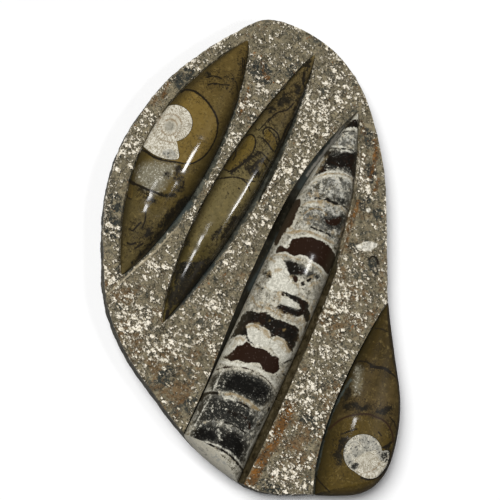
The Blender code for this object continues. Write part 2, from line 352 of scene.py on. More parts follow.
ORTHOCERAS_BROWN_PATCHES = (
    ((292.4, 239.5), (297.9, 237.7), (304.5, 237.1), (310.6, 237.1), (316.1, 238.9),
     (322.7, 241.4), (328.2, 245.6), (332.4, 250.5), (334.8, 256), (334.8, 261.4),
     (330.6, 269.2), (327.6, 274.1),
     (322.7, 268), (316.7, 263.2), (309.4, 258.9), (304.5, 255.3), (298.5, 254.7), (293.6, 256.5),
     (287.6, 252.3), (280.3, 252.3), (276, 253), (277.3, 248), (281.5, 245), (284.5, 248.4),
     (288.8, 247.6), (289.6, 242.6)),
    ((219.7, 355.6), (225.1, 356.3), (231.1, 352.9), (236.5, 346.2), (242.5, 344.9),
     (246.5, 341.5), (249.2, 343.5), (255.2, 346.9), (261.9, 348.2), (267.3, 350.9),
     (272, 355.6), (278.7, 357.6),
     (279.2, 363), (278.7, 371), (273.3, 373.7), (266.6, 371.7), (261.9, 368.3), (259.3, 363.6),
     (251.9, 363), (245.2, 362.3), (237.2, 360.3), (230.5, 361), (225.1, 358.3)),
    ((297, 199), (301, 202), (296, 214), (292.5, 224), (285, 231), (279.5, 242), (276.5, 246),
     (274, 244), (277, 232), (283, 217), (290, 206)),
    ((324, 218), (328.3, 220), (334.6, 218.6), (340, 216.8), (342, 219), (339, 223.3),
     (335, 226), (330.8, 225), (326, 222.3)),
    ((292.4, 276), (297.9, 277), (296.5, 282), (293.6, 281)),
)
ORTHOCERAS_BROWN_LINES = (
    (1.0, ((247.5, 422), (249.5, 425), (250, 428))),
    (0.8, ((233.3, 412.3), (240, 414), (246, 418))),
    (0.8, ((282, 293.5), (283, 295))),
    (0.5, ((216.4, 369.7), (223.8, 367.6), (233.8, 367), (242.5, 367.6), (250.5, 369.7),
           (258.6, 374.3), (266.6, 379.7), (272, 385.7), (276, 393))),
    (0.6, ((301.2, 282.8), (303.2, 282.4), (304.2, 284.2), (302.8, 285.4), (301.4, 284.6),
           (301.2, 282.8))),
)
ORTHOCERAS_TAN_LINES = (
    (0.6, ((315.5, 177.4), (321.9, 175.5), (328.3, 173.9), (334.6, 173.6), (341, 173.9),
           (347.4, 175.5), (352, 178.7), (354, 182))),
    (0.6, ((302.8, 204.8), (309.1, 202.4), (316.8, 201.2), (324.4, 201.2), (330.8, 203.2),
           (338.5, 206), (342.9, 209.6), (346.8, 214), (348, 219))),
    (1.0, ((284.5, 232.3), (292.4, 232.9), (301.5, 231), (310.6, 232.3), (319.7, 236.5),
           (325.8, 239.5), (333.6, 243))),
    (0.5, ((273, 255.3), (279, 254.5), (286.4, 255.5), (293.6, 258), (301.5, 260.2),
           (310.6, 263.8), (316.7, 267.4), (321.5, 272.3), (325.2, 278.3))),
    (0.9, ((307, 280.5), (309.5, 280.3), (311.5, 278))),
    (1.2, ((225.6, 394.5), (232.6, 394.3), (239.6, 396.4), (246.7, 400.6), (252.3, 404.9),
           (259.3, 410.5))),
    (1.1, ((247, 327), (253.2, 325.3), (260.6, 328), (266.5, 331.5), (269, 337))),
    (1.2, ((235.8, 339), (240.5, 337.6), (243.5, 340))),
    (1.2, ((274, 340), (277.5, 338.2), (283, 341), (286, 346), (289, 351.5))),
    (0.9, ((269, 321), (270.5, 320.4))),
    (0.8, ((283.5, 330.5), (285, 329.5))),
    (0.6, ((299.5, 294), (306, 299.5), (310.6, 305.6), (311.2, 312), (309, 320))),
    (0.5, ((290, 283), (297, 284), (299, 292), (303, 297))),
    (0.8, ((309, 195), (311, 196))),
    (0.7, ((305, 213), (311, 209), (317, 208.5), (323, 211), (326, 215))),
    (0.6, ((268, 308), (274, 312), (281, 316), (290, 318))),
    (0.6, ((262, 262), (268, 258), (275, 262))),
    (0.6, ((251, 295), (255, 303), (262, 308))),
)
ORTHOCERAS_PALE_PATCHES = (
    ((246.5, 325.5), (253.2, 323.4), (260.6, 326), (267.3, 329.5), (270.8, 335.5), (269.3, 343),
     (265.3, 347), (258.6, 346.2), (252, 343), (248.3, 337.5)),
    ((235.8, 336.8), (241.2, 335.5), (246, 340.2), (243.8, 344.2), (237.2, 346.2), (231.8, 351.6),
     (227.8, 353.6), (221.1, 354.3), (225.1, 349.6), (230.5, 343)),
    ((271.5, 339.5), (277.3, 336.8), (284, 339.5), (287.4, 347), (291.4, 353), (289, 360),
     (282, 362), (279, 356.6), (273, 352), (270, 345)),
    ((282, 298), (289, 298.5), (297, 304), (296, 308.5), (289, 306), (281, 303)),
    ((356, 118), (357.6, 115), (358.6, 117.4)),
    ((269, 263), (280, 258), (286, 266), (290, 276), (293, 283), (299, 292), (292, 295), (283, 291),
     (272, 291), (266, 284), (272, 277)),
)
ORTHOCERAS_PALE_LINES = (
    (0.8, ((340.3, 132.2), (344, 130.2), (348.5, 128.9), (353, 128.5), (357.1, 129.7))),
    (0.5, ((343.2, 129.5), (346, 124.4), (349, 121), (353, 118.5), (357, 118.4))),
    (0.7, ((328.6, 146.5), (333, 141), (337.8, 135.8))),
    (0.8, ((332.5, 146.2), (338.5, 146.6), (345, 147.4))),
    (0.9, ((341, 151), (346, 150.8), (351, 151.8))),
    (1.1, ((312.5, 177), (318, 167), (323.2, 158.6))),
    (0.6, ((317.4, 176), (321.9, 173.9), (326.4, 172.2), (334.6, 171.6), (341, 172.3),
           (347.4, 174.6), (352.5, 178.7), (355, 184))),
    (0.7, ((306.6, 188.5), (312.3, 182), (318.7, 177), (327, 175.5), (336, 175.4), (345, 177),
           (351, 182.5))),
    (0.7, ((307.2, 205.5), (315.5, 204.2), (322, 204.6), (326, 206.5))),
    (0.7, ((290, 239.5), (297.9, 236.4), (304.5, 235.8), (310.6, 235.8), (316.6, 237.6),
           (323.3, 240.2), (329.2, 244.6), (333.6, 250), (336.4, 257))),
    (1.2, ((290.4, 240.5), (287.4, 243.2), (285.4, 246.6))),
    (0.6, ((274.5, 252.5), (277, 247.5), (279.5, 244.5))),
    (0.8, ((275.5, 255), (280.3, 253.4), (287.4, 253.6), (293.6, 257.6), (298.5, 256),
           (304.5, 256.6), (309.4, 260.2), (316.7, 264.6), (322.3, 269.4), (326.6, 275))),
    (1.4, ((302, 317), (303, 326), (303.4, 336), (300, 345), (296.5, 352))),
    (1.6, ((218, 360), (225, 362.5), (233, 364), (243, 365), (252, 367), (260, 371), (268, 377),
           (275, 385))),
    (0.8, ((224.8, 398.2), (230, 398.6), (236, 400.4))),
    (0.5, ((217.9, 434), (220, 436.5), (219, 439), (222, 439.6))),
    (0.5, ((218, 429.5), (221, 432.8))),
    (0.6, ((189.5, 438), (195, 441.4), (201.1, 441.4), (209.5, 443), (218.6, 446.2),
           (227.7, 450.6), (234.7, 456.6), (240, 463), (244, 468.5), (245.5, 462), (248, 452))),
    (0.4, ((191, 431), (197, 421.5), (203, 410), (211, 396), (219, 377), (224, 369))),
    (0.6, ((247.5, 452), (256, 437), (263, 424), (269, 412), (276, 398), (283, 385))),
)
ORTHOCERAS_MURK = (
    ((316, 174), (320, 162), (327, 151), (336, 152), (346, 149), (357, 152), (358.5, 165),
     (356.5, 178), (350, 175), (343, 170.5), (334, 169.5), (324, 170.5)),
    ((322, 217), (327, 214), (335, 216), (344, 213), (346, 220), (341, 228), (334, 230),
     (326, 226)),
    ((331, 199), (338, 197.5), (345, 200), (347, 205), (341, 204.5), (335, 202)),
    ((306, 273.5), (312, 272), (318, 275), (318.5, 279), (313, 277.5), (307, 277)),
    ((284, 262), (290, 260), (298, 263), (306, 269), (305, 276), (298, 277), (290, 275),
     (286, 269)),
    ((278, 305), (290, 304), (300, 312), (299, 316), (290, 315), (280, 311)),
    ((266, 271), (271, 274), (270, 278), (264, 274)),
    ((211, 378), (222, 373), (235, 371.5), (250, 374), (262, 379), (272, 389), (272, 398),
     (262, 406), (250, 400), (240, 394.5), (226, 391.5), (212, 391)),
    ((190, 434), (197, 426), (207, 423), (219, 427), (231, 430.5), (243, 437), (248, 446),
     (246, 458), (240, 463.5), (231, 455), (221, 447.5), (210, 442.5), (197, 440.5)),
    ((201, 401), (212, 396), (224, 400), (236, 402), (248, 408), (254, 416), (252, 428),
     (243, 432), (232, 424), (222, 420), (210, 420), (199, 421), (194, 424), (197, 411)),
)
ORTHOCERAS_BLACK = (
    ((234, 376), (246, 377), (257, 382), (265, 389), (266, 396), (259, 399), (249, 396),
     (238, 391.5), (228, 389), (224, 384)),
    ((225, 436), (233, 433), (241, 439), (243.5, 447), (241, 456), (236, 455), (229, 449),
     (221, 446), (218, 441)),
    ((193, 434), (199, 429), (207, 429), (213, 433), (214, 439), (207, 440), (199, 439)),
)
ORTHOCERAS_GREYED = (
    ((196, 412), (203, 398), (222, 394), (240, 399), (256, 408), (266, 412), (262, 426),
     (253, 444), (246, 460), (238, 455), (225, 446), (206, 438), (192, 434)),
    ((338, 134), (348, 132), (356, 133), (357, 146), (345, 146.5), (333, 145.5), (330, 147)),
    ((315, 183), (328, 177.5), (342, 178), (352, 184), (352, 205), (342, 203), (330, 198.5),
     (316, 198.5), (306, 201), (307, 192)),
    ((305, 208), (318, 206), (331, 206), (342, 211), (347, 222), (341, 234), (334, 241),
     (325, 231.5), (312, 226), (303, 224)),
)

ORTHOCERAS_STAINS = (
    (2.0, ((276, 298), (281, 293), (278, 303))),
    (1.5, ((309, 194), (311, 197))),
    (2.5, ((315, 192), (318, 196), (322, 206))),
    (3.5, ((308, 221), (316, 217))),
    (2.0, ((333, 232), (340, 236), (344, 228))),
    (2.0, ((312, 286), (318, 281))),
    (2.2, ((267, 275), (273, 272), (280, 270))),
    (2.5, ((262, 303), (272, 309), (284, 315), (296, 320))),
    (3.0, ((301, 318), (303, 330), (300, 342))),
    (2.0, ((250, 296), (256, 305))),
    (2.0, ((292, 277), (298, 283))),
    (2.0, ((310, 279), (314, 276))),
    (3.0, ((250, 326), (257, 326), (264, 330), (268, 336))),
    (2.0, ((277, 339), (284, 343), (289, 350))),
    (2.6, ((235, 341), (230, 347))),
    (2.6, ((280, 342), (286, 350))),
    (2.0, ((281, 366), (284, 378))),
    (1.8, ((228, 396), (236, 397), (245, 402), (255, 409))),
    (1.6, ((326, 157), (322, 163), (317, 172))),
    (1.6, ((293, 219), (289, 229), (299, 231))),
)

# Where the polish is best, so that a light is mirrored there: centre and radius in squares
POLISHED = {
    "orthoceras": ((311, 259, 7), (307, 270, 6)),
    "spindle_left": ((199, 144, 8), (193, 155, 7), (184, 168, 6), (152, 182, 6), (147, 195, 6),
                     (144, 208, 5), (161, 198, 6), (155, 208, 5), (189, 161, 5), (174, 185, 5),
                     (169, 193, 6), (164, 202, 6), (158, 211, 5)),
    "spindle_middle": ((258, 182, 7), (250, 196, 7), (241, 210, 7), (229, 224, 7), (269, 163, 7),
                       (262, 176, 7), (254, 189, 8), (245, 203, 8), (236, 216, 8), (223, 232, 7),
                       (215, 245, 8), (207, 256, 7), (211, 228, 6), (203, 241, 7), (195, 256, 7),
                       (187, 271, 8)),
    "spindle_right": ((354, 424, 8), (352, 433, 7)),
    "goniatite_left": (),
    "goniatite_right": ((368, 458, 15),),
}

# Markings of the brown spindles
LEFT_DARK_PATCHES = (
    ((190, 196), (184, 207), (174, 218), (166, 226), (160, 228), (163, 220), (171, 209),
     (181, 199)),
    ((169, 224), (159, 238), (149, 249), (140, 257), (133, 263), (134, 260), (145, 247),
     (157, 233)),
    ((144.6, 194), (147.8, 193.4), (151, 198), (156.4, 200.6), (155, 203.5), (148, 199)),
    ((137, 185.6), (145, 188), (146, 192), (140, 190)),
    ((175.3, 171), (176.5, 167), (179.5, 166), (179.6, 171), (178, 175.5), (175.6, 176)),
    ((176.5, 176), (182.3, 177.5), (183.6, 181), (180, 182), (175, 179.5)),
    ((168.9, 194), (175, 192.6), (176, 196), (169, 198.4), (163, 196.5), (158, 195)),
    ((176.5, 192), (177.5, 189), (182.3, 186.6), (183, 189), (179, 192.5)),
    ((163.5, 172.5), (168.5, 173.5), (168.9, 176.5), (166.5, 178.5), (164.4, 176)),
    ((145, 228), (150, 229), (154.5, 233), (151, 238), (145.5, 237)),
    ((205, 73.5), (208, 72), (210, 75), (207, 77)),
)
LEFT_DARK_LINES = (
    (0.85, ((181.4, 92), (185.2, 89.8), (193.7, 91), (201.3, 96), (207.4, 102), (212.8, 109.7),
            (216.6, 117.4), (217.8, 124))),
    (0.6, ((217.8, 124), (217, 133.4), (213.6, 142.6), (208.2, 151.8), (201.3, 158.7),
           (192.9, 163.2), (185.2, 163.6), (176, 162))),
    (1.0, ((142.1, 150), (146.6, 151.9), (152.9, 156.4), (161.2, 159.7))),
    (0.7, ((161.2, 159.7), (168.9, 161.3), (176, 162))),
    (1.5, ((129.3, 179), (131, 181.8), (134.4, 184))),
    (0.9, ((134.4, 184), (139.5, 185.8), (146, 189), (151, 190.8), (157.4, 193.3), (161, 195.3))),
    (0.6, ((183.5, 181), (183.4, 185), (182.3, 187.6))),
    (0.5, ((126.8, 187), (126.1, 193), (128.1, 197.8), (131.3, 199.1))),
    (0.6, ((207, 77.5), (212, 76), (216.6, 76.5), (221.2, 78.4))),
    (0.5, ((207.4, 85.2), (213.6, 83.3), (221.2, 84.5), (228.9, 85.2))),
    (0.4, ((231.9, 78.4), (236.5, 83), (237.3, 90.6))),
    (0.4, ((242.6, 58), (242.6, 74))),
    (0.4, ((244.6, 60), (244, 70))),
    (0.5, ((145.6, 208), (145.9, 214), (144.8, 221), (142, 228))),
    (0.9, ((127.5, 243), (131, 244.4), (135.2, 243))),
    (0.7, ((135, 248), (139, 246), (143, 243.6))),
    (0.7, ((129, 229), (133, 230.5), (137, 226), (141, 222.5))),
)
LEFT_CELLS = (
    ((182, 92), (190, 91), (200, 96), (209, 105), (216, 118), (217, 132), (213, 143), (207, 152),
     (199, 159), (189, 163), (176, 161), (165, 158), (152, 153), (144, 146), (150, 128),
     (166, 108)),
    ((127.5, 186), (132, 184.5), (133.4, 190), (131.6, 198), (128, 197), (126, 192)),
)
# Painted reflection: grey patches where a broad light is mirrored in the polish
LEFT_SHEEN_PATCHES = (
    ((153, 162), (164, 165), (175, 164.5), (173.5, 171), (167, 180), (160, 190), (151, 191),
     (144, 187), (139, 180), (140, 170)),
)
MIDDLE_DARK_PATCHES = (
    ((258, 150.5), (261, 153), (253, 158.5), (246.5, 163.5), (240, 168.5), (233, 174),
     (230, 173), (237, 166), (245, 159), (252, 153.5)),
    ((244.5, 166), (251, 165.6), (254.1, 163.3), (262, 158.4), (265, 159.5), (260, 162.5),
     (258, 166.5), (260.5, 172), (258.7, 177.5), (254, 176), (249, 175.5), (247, 171)),
    ((232.5, 219), (238, 217), (243, 216.6), (240, 223), (232, 229), (227, 236), (222, 241),
     (220, 238), (226, 229)),
    ((183, 262), (190, 262), (198, 261), (208, 258), (215, 262), (211, 272), (200, 284),
     (189, 295), (180, 303), (174, 303), (174, 291), (174.5, 280), (175, 270)),
    ((185.3, 244.9), (188, 240.3), (190, 240.5), (188.5, 245), (185.8, 246.5)),
    ((216, 231), (221, 228), (222, 231), (216, 237), (213, 240.5), (212, 238)),
    ((168.9, 290), (172, 287), (175, 296), (173, 304), (170.5, 309), (168, 304)),
    ((280, 97), (286, 93.5), (292, 97), (290, 103), (284, 105.5), (278, 106)),
    ((294, 86), (298, 82), (301, 86), (299, 94), (296, 95)),
    ((268, 108), (273, 106), (276, 110), (270, 113)),
    ((303, 74), (306, 72), (306, 79), (304, 82)),
    ((306, 61), (310, 57), (309.5, 64), (307, 71), (304.5, 68)),
    ((298, 100), (301, 97), (300, 108), (296, 118), (293, 124), (294, 112)),
)
MIDDLE_DARK_LINES = (
    (0.8, ((279, 147), (283, 137), (287, 127), (293, 119))),
    (0.6, ((268, 122), (273, 116), (279, 112), (287, 110), (293, 104))),
    (0.8, ((304, 72), (303, 82), (305, 90), (302, 98))),
    (0.5, ((231, 141), (236, 152), (233, 160))),
    (0.5, ((262, 158), (266, 166), (272, 172))),
    (0.65, ((245, 136.5), (248, 135), (251.8, 134.6), (254.9, 138), (255.4, 144), (253, 151.8),
            (247, 159.5), (240, 165.6), (233.5, 169.6), (228, 172))),
    (0.5, ((222, 169.2), (226, 170), (231.2, 171.5), (236, 169))),
    (0.55, ((217, 179), (226.6, 177.6), (235, 177.2), (241.2, 178.7), (245.7, 182.2),
            (248.8, 186.8), (250, 191))),
    (0.5, ((241, 178.4), (249.6, 180.7), (255, 181.5))),
    (0.6, ((263.3, 134), (263.3, 130.4), (267.1, 127.3), (272.5, 128.9), (277.8, 134.2),
           (279, 143), (275, 152))),
    (0.45, ((268.4, 128.9), (274.8, 136.5), (277.1, 144.2))),
    (0.7, ((262.5, 138), (266.4, 141.9), (270.2, 147.2), (273.2, 151))),
    (0.55, ((257.9, 151), (263.3, 154.1), (268.6, 160.2), (275.5, 167.1))),
    (0.4, ((269.4, 118.1), (261.8, 127.3), (258.7, 130.4))),
    (0.45, ((253, 107), (257, 113), (255.5, 121))),
    (0.7, ((262, 106), (266, 109), (270, 108))),
    (0.6, ((274, 88), (279, 90), (285, 88.5))),
    (1.6, ((168, 311), (166.6, 318))),
    (0.5, ((227.8, 192), (228.6, 194))),
    (0.6, ((238.6, 188), (239.4, 189))),
)
MIDDLE_CELLS = (
    ((246, 136), (251.8, 135), (254.6, 138), (254.9, 144), (252.6, 151.8), (246.5, 159.5),
     (239.6, 165.6), (233.5, 169.2), (224.3, 169), (229, 159), (238, 147)),
    ((264.2, 133), (266, 129.6), (269.8, 129.6), (274.4, 136), (276.6, 144), (273.4, 151),
     (269.8, 146), (265.6, 140)),
    ((252.4, 171.4), (254.6, 168.8), (257, 171), (255, 173.6)),
    ((259.5, 163), (263.5, 159.8), (264.8, 163), (263, 167), (260, 167)),
)
RIGHT_DARK_PATCHES = (
    ((343.5, 392), (348, 388), (351.2, 391), (350, 397), (346, 402), (343.6, 399)),
    ((344.9, 402.5), (352, 402), (359.6, 403), (358, 408), (348, 409.5), (344, 407)),
    ((354.7, 406), (362, 406.5), (368.8, 406), (367, 411.4), (360, 409.6), (355, 410)),
    ((375.8, 409), (380, 408.5), (386, 406.5), (393.3, 405.6), (392, 411), (385, 415), (379, 413)),
    ((342, 435.4), (347.7, 438.2), (345, 444.6), (341.4, 450.2), (342, 460.7), (339.3, 464.2),
     (335.1, 459.3), (334.4, 453), (337.9, 446.7), (339.3, 439.6)),
    ((382.8, 447), (387, 444), (391.2, 442.3), (390.4, 446.4), (386, 448.6)),
    ((380.7, 452), (386, 450.5), (390.5, 450), (389.4, 456), (386, 461.4), (381.6, 460),
     (383, 456)),
)
RIGHT_DARK_LINES = (
    (0.8, ((383.2, 447.6), (387, 445.6), (391.4, 442.2))),
    (0.5, ((374.5, 328.5), (380.7, 328.8), (387.6, 332))),
    (0.6, ((358.5, 361), (366.7, 362), (373, 365.8), (380.7, 368), (388.4, 371), (394.5, 376))),
    (1.4, ((371, 366.5), (378, 367.5), (386, 369), (390, 372.5))),
    (0.5, ((389.8, 417.2), (394, 422), (396.3, 428.5))),
    (0.5, ((316.1, 476.8), (320.4, 482.5), (327.4, 489.5), (334, 496))),
    (0.5, ((378.6, 432), (381.5, 435.8))),
    (0.6, ((342, 434), (350, 431), (357, 429))),
    (0.6, ((340, 452), (342.5, 443), (348, 437.5))),
    (0.7, ((361, 477.6), (368.8, 479.8), (377.8, 477.4), (385, 469), (389.8, 459))),
)
RIGHT_BROWN_LINES = (
    (0.9, ((329, 429), (337.9, 421.4), (345.6, 417.2), (353.3, 415.1), (361.7, 413.9),
           (370.2, 414.6), (376.5, 417.2), (382.1, 419.5), (387, 423.6), (390.5, 429.3),
           (392.6, 435), (393, 442))),
)
# Painted rim light: a blue-grey line along the right spindle's left edge, standing in for the lit
# slate wall of its groove
RIGHT_RIM_LIGHT_LINES = (
    (1.0, ((351, 380), (344, 390), (337.6, 401), (332, 413), (327.6, 426), (323.4, 440),
           (319.6, 457), (316, 474))),
)
RIGHT_CELLS = (
    ((331, 430), (345, 419), (361, 415.5), (375, 418.5), (387, 426), (392, 438), (391, 455),
     (384, 469), (370, 484), (350, 492), (330, 494), (318, 478), (322, 452)),
)
# Painted reflection: a light patch along the crest where a light is mirrored
RIGHT_SHEEN_PATCHES = (
    ((357, 368), (360, 370), (360, 382), (358, 392), (355, 392), (355, 378)),
)

PEPPERED = {
    "spindle_left": (
        ((124, 228), (136, 217), (150, 220), (160, 226), (154, 238), (138, 250), (126, 258),
         (122, 248)),
        ((200, 78), (214, 70), (232, 72), (238, 84), (236, 100), (226, 92), (208, 88)),
        ((236, 56), (247, 46), (247, 66), (240, 84), (236, 74)),
        ((174, 166), (184, 172), (186, 186), (176, 196), (164, 200), (172, 186)),
        ((138, 184), (150, 190), (156, 202), (146, 206), (136, 196)),
        ((170, 208), (184, 204), (180, 214), (166, 224), (160, 222)),
    ),
    "spindle_middle": (
        ((272, 104), (284, 88), (298, 72), (310, 62), (306, 84), (300, 104), (290, 124),
         (280, 132), (270, 122)),
        ((236, 160), (256, 154), (276, 160), (284, 172), (268, 184), (246, 176), (232, 176)),
        ((256, 128), (268, 120), (282, 132), (282, 152), (270, 158), (258, 146)),
        ((222, 222), (240, 206), (252, 196), (246, 214), (228, 238), (208, 262), (196, 282),
         (180, 300), (168, 314), (168, 300), (184, 282), (202, 252)),
    ),
    "spindle_right": (
        ((352, 360), (372, 360), (392, 368), (398, 380), (380, 376), (360, 370)),
        ((338, 392), (352, 386), (372, 402), (392, 402), (396, 414), (372, 418), (346, 414),
         (336, 406)),
        ((330, 440), (344, 430), (350, 444), (344, 464), (334, 466)),
        ((380, 418), (394, 420), (396, 440), (388, 436)),
    ),
}

# Markings of the goniatites
COIL_RINGS = {
    "goniatite_left": (
        (0.8, ((166, 120.5), (170.5, 119), (175.5, 121.5), (177.5, 127), (175, 133), (169, 135.5),
               (163.5, 133), (161, 127.5))),
        (0.6, ((157, 128), (159, 120), (164, 115.5), (171, 114), (178, 116.6), (181.6, 124),
               (180, 131), (175.5, 137))),
        (0.6, ((153.6, 131.5), (156.1, 136.6), (161.2, 139.8), (168.9, 142), (175.3, 142.3))),
    ),
    "goniatite_right": ((0.4, ((380, 462), (377, 467), (371, 471), (362, 473.5))),),
}
COIL_MIDDLES = {
    "goniatite_left": (
        ((165.5, 124), (169, 121.6), (173.4, 123.4), (174.6, 127.4), (171.8, 131), (167.4, 131.6),
         (165, 128)),
    ),
    "goniatite_right": (),
}
COIL_SPECKLES = {
    "goniatite_left": (
        ((163, 151), (168, 148.5), (174, 151), (176.5, 156), (174, 159.5), (168, 159), (163, 156)),
    ),
    "goniatite_right": (
        ((343, 447), (350, 438), (362, 434.5), (372, 436), (379, 442), (377, 450), (366, 452),
         (356, 458), (350, 470), (343.5, 460)),
        ((350.5, 466), (354, 463.5), (358.5, 463.6), (357, 469), (351.5, 469.4)),
        ((377, 446), (387, 444.5), (391, 449), (388, 457), (382, 461), (377, 456)),
        ((372.3, 470), (375, 465.6), (378, 466), (377, 471), (373.6, 472.6)),
    ),
}
COIL_BLACKS = {
    "goniatite_left": (),
    "goniatite_right": (
        ((381.5, 453.5), (385, 452.6), (390, 453), (390.5, 457), (388, 461), (384, 462),
         (381, 458.5)),
        ((351, 465.5), (355, 463.6), (358.6, 464), (357, 468.6), (352.4, 469)),
    ),
}

# Markings of the slab
SLAB_DARK_PATCHES = (
    ((172.7, 78.5), (184.8, 67.6), (195.7, 68.3), (189.3, 81), (179.7, 89.3), (174, 83)),
    ((104, 198), (114, 190), (121, 200), (119, 216), (120, 236), (108, 238), (103, 222)),
    ((366, 166), (371, 163), (376, 168), (376, 178), (371, 184), (365, 178)),
    ((362, 197), (368, 194), (371, 199), (367, 208), (361, 211), (359, 205)),
    ((373, 212), (381, 209), (388, 213), (386, 222), (377, 221)),
    ((365, 130), (371, 131), (375, 140), (372, 150), (366, 147), (364, 138)),
    ((346, 244), (354, 243), (360, 246), (358, 251), (350, 250)),
    ((369, 256), (375, 255.4), (379, 260), (378.6, 276), (371, 272), (368, 264)),
    ((183, 404), (190, 396), (198, 394), (196, 408), (188, 414)),
    ((146, 330), (154, 326), (160, 332), (156, 342), (147, 340)),
    ((160, 370), (170, 366), (176, 376), (168, 386), (158, 382)),
    ((115, 268), (126, 262), (134, 268), (128, 280), (118, 286)),
    ((248, 66), (262, 60), (272, 70), (268, 84), (256, 82)),
    ((246, 120), (253, 114), (258, 121), (252, 128)),
    ((285, 70), (300, 62), (312, 70), (306, 82), (292, 84)),
    ((262, 478), (276, 484), (290, 494), (276, 497), (262, 490)),
    ((300, 420), (310, 414), (318, 420), (312, 430)),
    ((156, 196), (166, 192), (163, 204), (154, 212)),
)
SLAB_RUST_LINES = (
    (5.2, ((291, 405), (284, 420), (277, 434), (270, 448), (262, 461), (255, 474), (248, 487))),
    (1.6, ((374, 140), (376, 150), (374, 165), (371, 176))),
    (1.6, ((358, 202), (355, 212), (351, 222), (348, 234), (346, 246))),
    (1.6, ((378.6, 180), (376, 187), (374, 193))),
    (1.0, ((362.5, 122), (362.6, 132))),
    (1.4, ((169, 83), (166, 88), (163, 97))),
    (1.0, ((147, 109), (143, 113))),
    (1.5, ((248, 84), (248, 94), (243, 108), (240, 114))),
    (1.2, ((263, 62), (263, 72), (268, 80))),
    (0.9, ((307, 344), (313, 347), (321, 349.6), (330, 353))),
    (1.0, ((266, 186), (270, 190), (264, 198))),
    (1.0, ((184, 398), (178, 404))),
    (0.8, ((322, 117), (320, 119))),
    (1.0, ((363, 123), (364, 133))),
    (0.8, ((165, 288), (168, 291))),
    (0.8, ((204, 320), (208, 314))),
)
SLAB_DARK_LINES = (
    (0.9, ((369.4, 259.4), (371.6, 256.6), (375, 256.8), (377.4, 260), (377.8, 264))),
    (0.45, ((307, 344), (313, 347), (321, 349.6), (330, 353.2), (339.3, 355.3), (349, 357))),
    (0.4, ((330, 296), (340, 300), (352, 302))),
)
SLAB_SCRATCHES = (
    (0.9, ((178, 226), (165, 240.6), (153.6, 252.8), (136.7, 267.3), (123, 280.3), (107.6, 294))),
)
SLAB_DENSE = (
    # places with many pecks: centre and radius in squares
    (150, 118, 11), (110, 160, 12), (196, 215, 12), (210, 190, 11), (224, 165, 11), (236, 142, 11),
    (250, 108, 12), (258, 90, 12), (150, 270, 20), (130, 318, 25), (168, 345, 22), (190, 270, 12),
    (250, 240, 14), (235, 265, 14), (215, 300, 18), (262, 214, 15), (290, 165, 22), (312, 130, 22),
    (300, 100, 22), (340, 90, 14), (362, 180, 8), (330, 260, 14), (318, 300, 20), (345, 300, 26),
    (330, 350, 22), (310, 390, 22), (300, 428, 17), (290, 470, 17), (262, 182, 8), (205, 330, 14),
    (360, 155, 7), (360, 168, 4), (367, 190, 7), (368, 209, 4), (120, 176, 8), (112, 232, 8),
    (134, 146, 8), (192, 64, 7), (216, 42, 9), (104, 282, 10), (386, 206, 6), (388, 300, 8),
)
SLAB_BARE = (
    # places with few or none
    (180, 92, 7), (163, 104, 8), (182, 80, 10), (106, 258, 6), (117, 208, 7), (244, 262, 8),
    (214, 284, 8), (262, 250, 9), (340, 200, 10), (368, 130, 10), (362, 214, 10), (298, 420, 8),
    (262, 100, 8), (340, 320, 8), (168, 255, 6), (152, 282, 6), (300, 440, 9), (318, 400, 7),
    (283, 424, 7), (270, 449, 7), (256, 474, 6), (152, 386, 12), (178, 398, 8),
)
SLAB_SLATE_LINES = (
    (3.2, ((357, 109), (344, 120), (332, 134.5), (320.5, 151.5), (308.5, 170), (300, 186))),
    (4.0, ((190, 205), (180, 213), (168, 225), (155, 240), (140, 255), (125, 270))),
    (4.0, ((214, 268), (203, 280), (190, 294), (178, 306), (169, 316))),
    (3.0, ((374, 330), (362, 347), (352, 366), (345, 380), (335, 400), (325, 430), (316, 465))),
    (3.0, ((280, 235), (266, 262), (250, 288))),
)
SLAB_RIND_LINES = (
    (1.4, ((352, 115.4), (343, 126), (335.6, 137), (328.6, 146.6), (321.6, 156), (314, 166),
           (306.6, 175.6))),
)
SLAB_PALE_PATCHES = (
    ((355.5, 246.4), (361, 243), (367, 241.4), (373, 241.8), (378, 244.6), (373, 249),
     (367, 251.4), (361, 250)),
    ((366, 209), (369, 208), (370, 211), (367.5, 212.5)),
)
SLAB_WARM = (
    # places where the stone is browner
    (345, 260, 30), (352, 320, 28), (330, 400, 26), (305, 450, 24), (340, 180, 22),
    (130, 300, 28), (200, 360, 26), (135, 345, 22), (160, 375, 20), (175, 395, 14),
    (290, 440, 26), (300, 330, 14), (330, 320, 12), (375, 150, 12), (250, 105, 14),
    (345, 215, 14), (150, 100, 12),
)

MARKS = {
    # for each piece the name that a mark is recorded under, its patches and its lines
    "matrix_slab": (
        ("dark", SLAB_DARK_PATCHES, ()),
        ("rust", (), SLAB_RUST_LINES),
        ("crystals", SLAB_PALE_PATCHES, ()),
        ("cracks", (), SLAB_DARK_LINES),
        ("scratches", (), SLAB_SCRATCHES),
        ("slate", (), SLAB_SLATE_LINES),
        ("rind", (), SLAB_RIND_LINES),
    ),
    "orthoceras": (
        ("dark", ORTHOCERAS_DARK_PATCHES, ()),
        ("ink", (), ORTHOCERAS_DARK_LINES),
        ("brown", ORTHOCERAS_BROWN_PATCHES, ORTHOCERAS_BROWN_LINES),
        ("tan", (), ORTHOCERAS_TAN_LINES),
        ("pale", ORTHOCERAS_PALE_PATCHES, ORTHOCERAS_PALE_LINES),
        ("murk", ORTHOCERAS_MURK, ()),
        ("black", ORTHOCERAS_BLACK, ()),
        ("greyed", ORTHOCERAS_GREYED, ()),
        ("stain", (), ORTHOCERAS_STAINS),
    ),
}
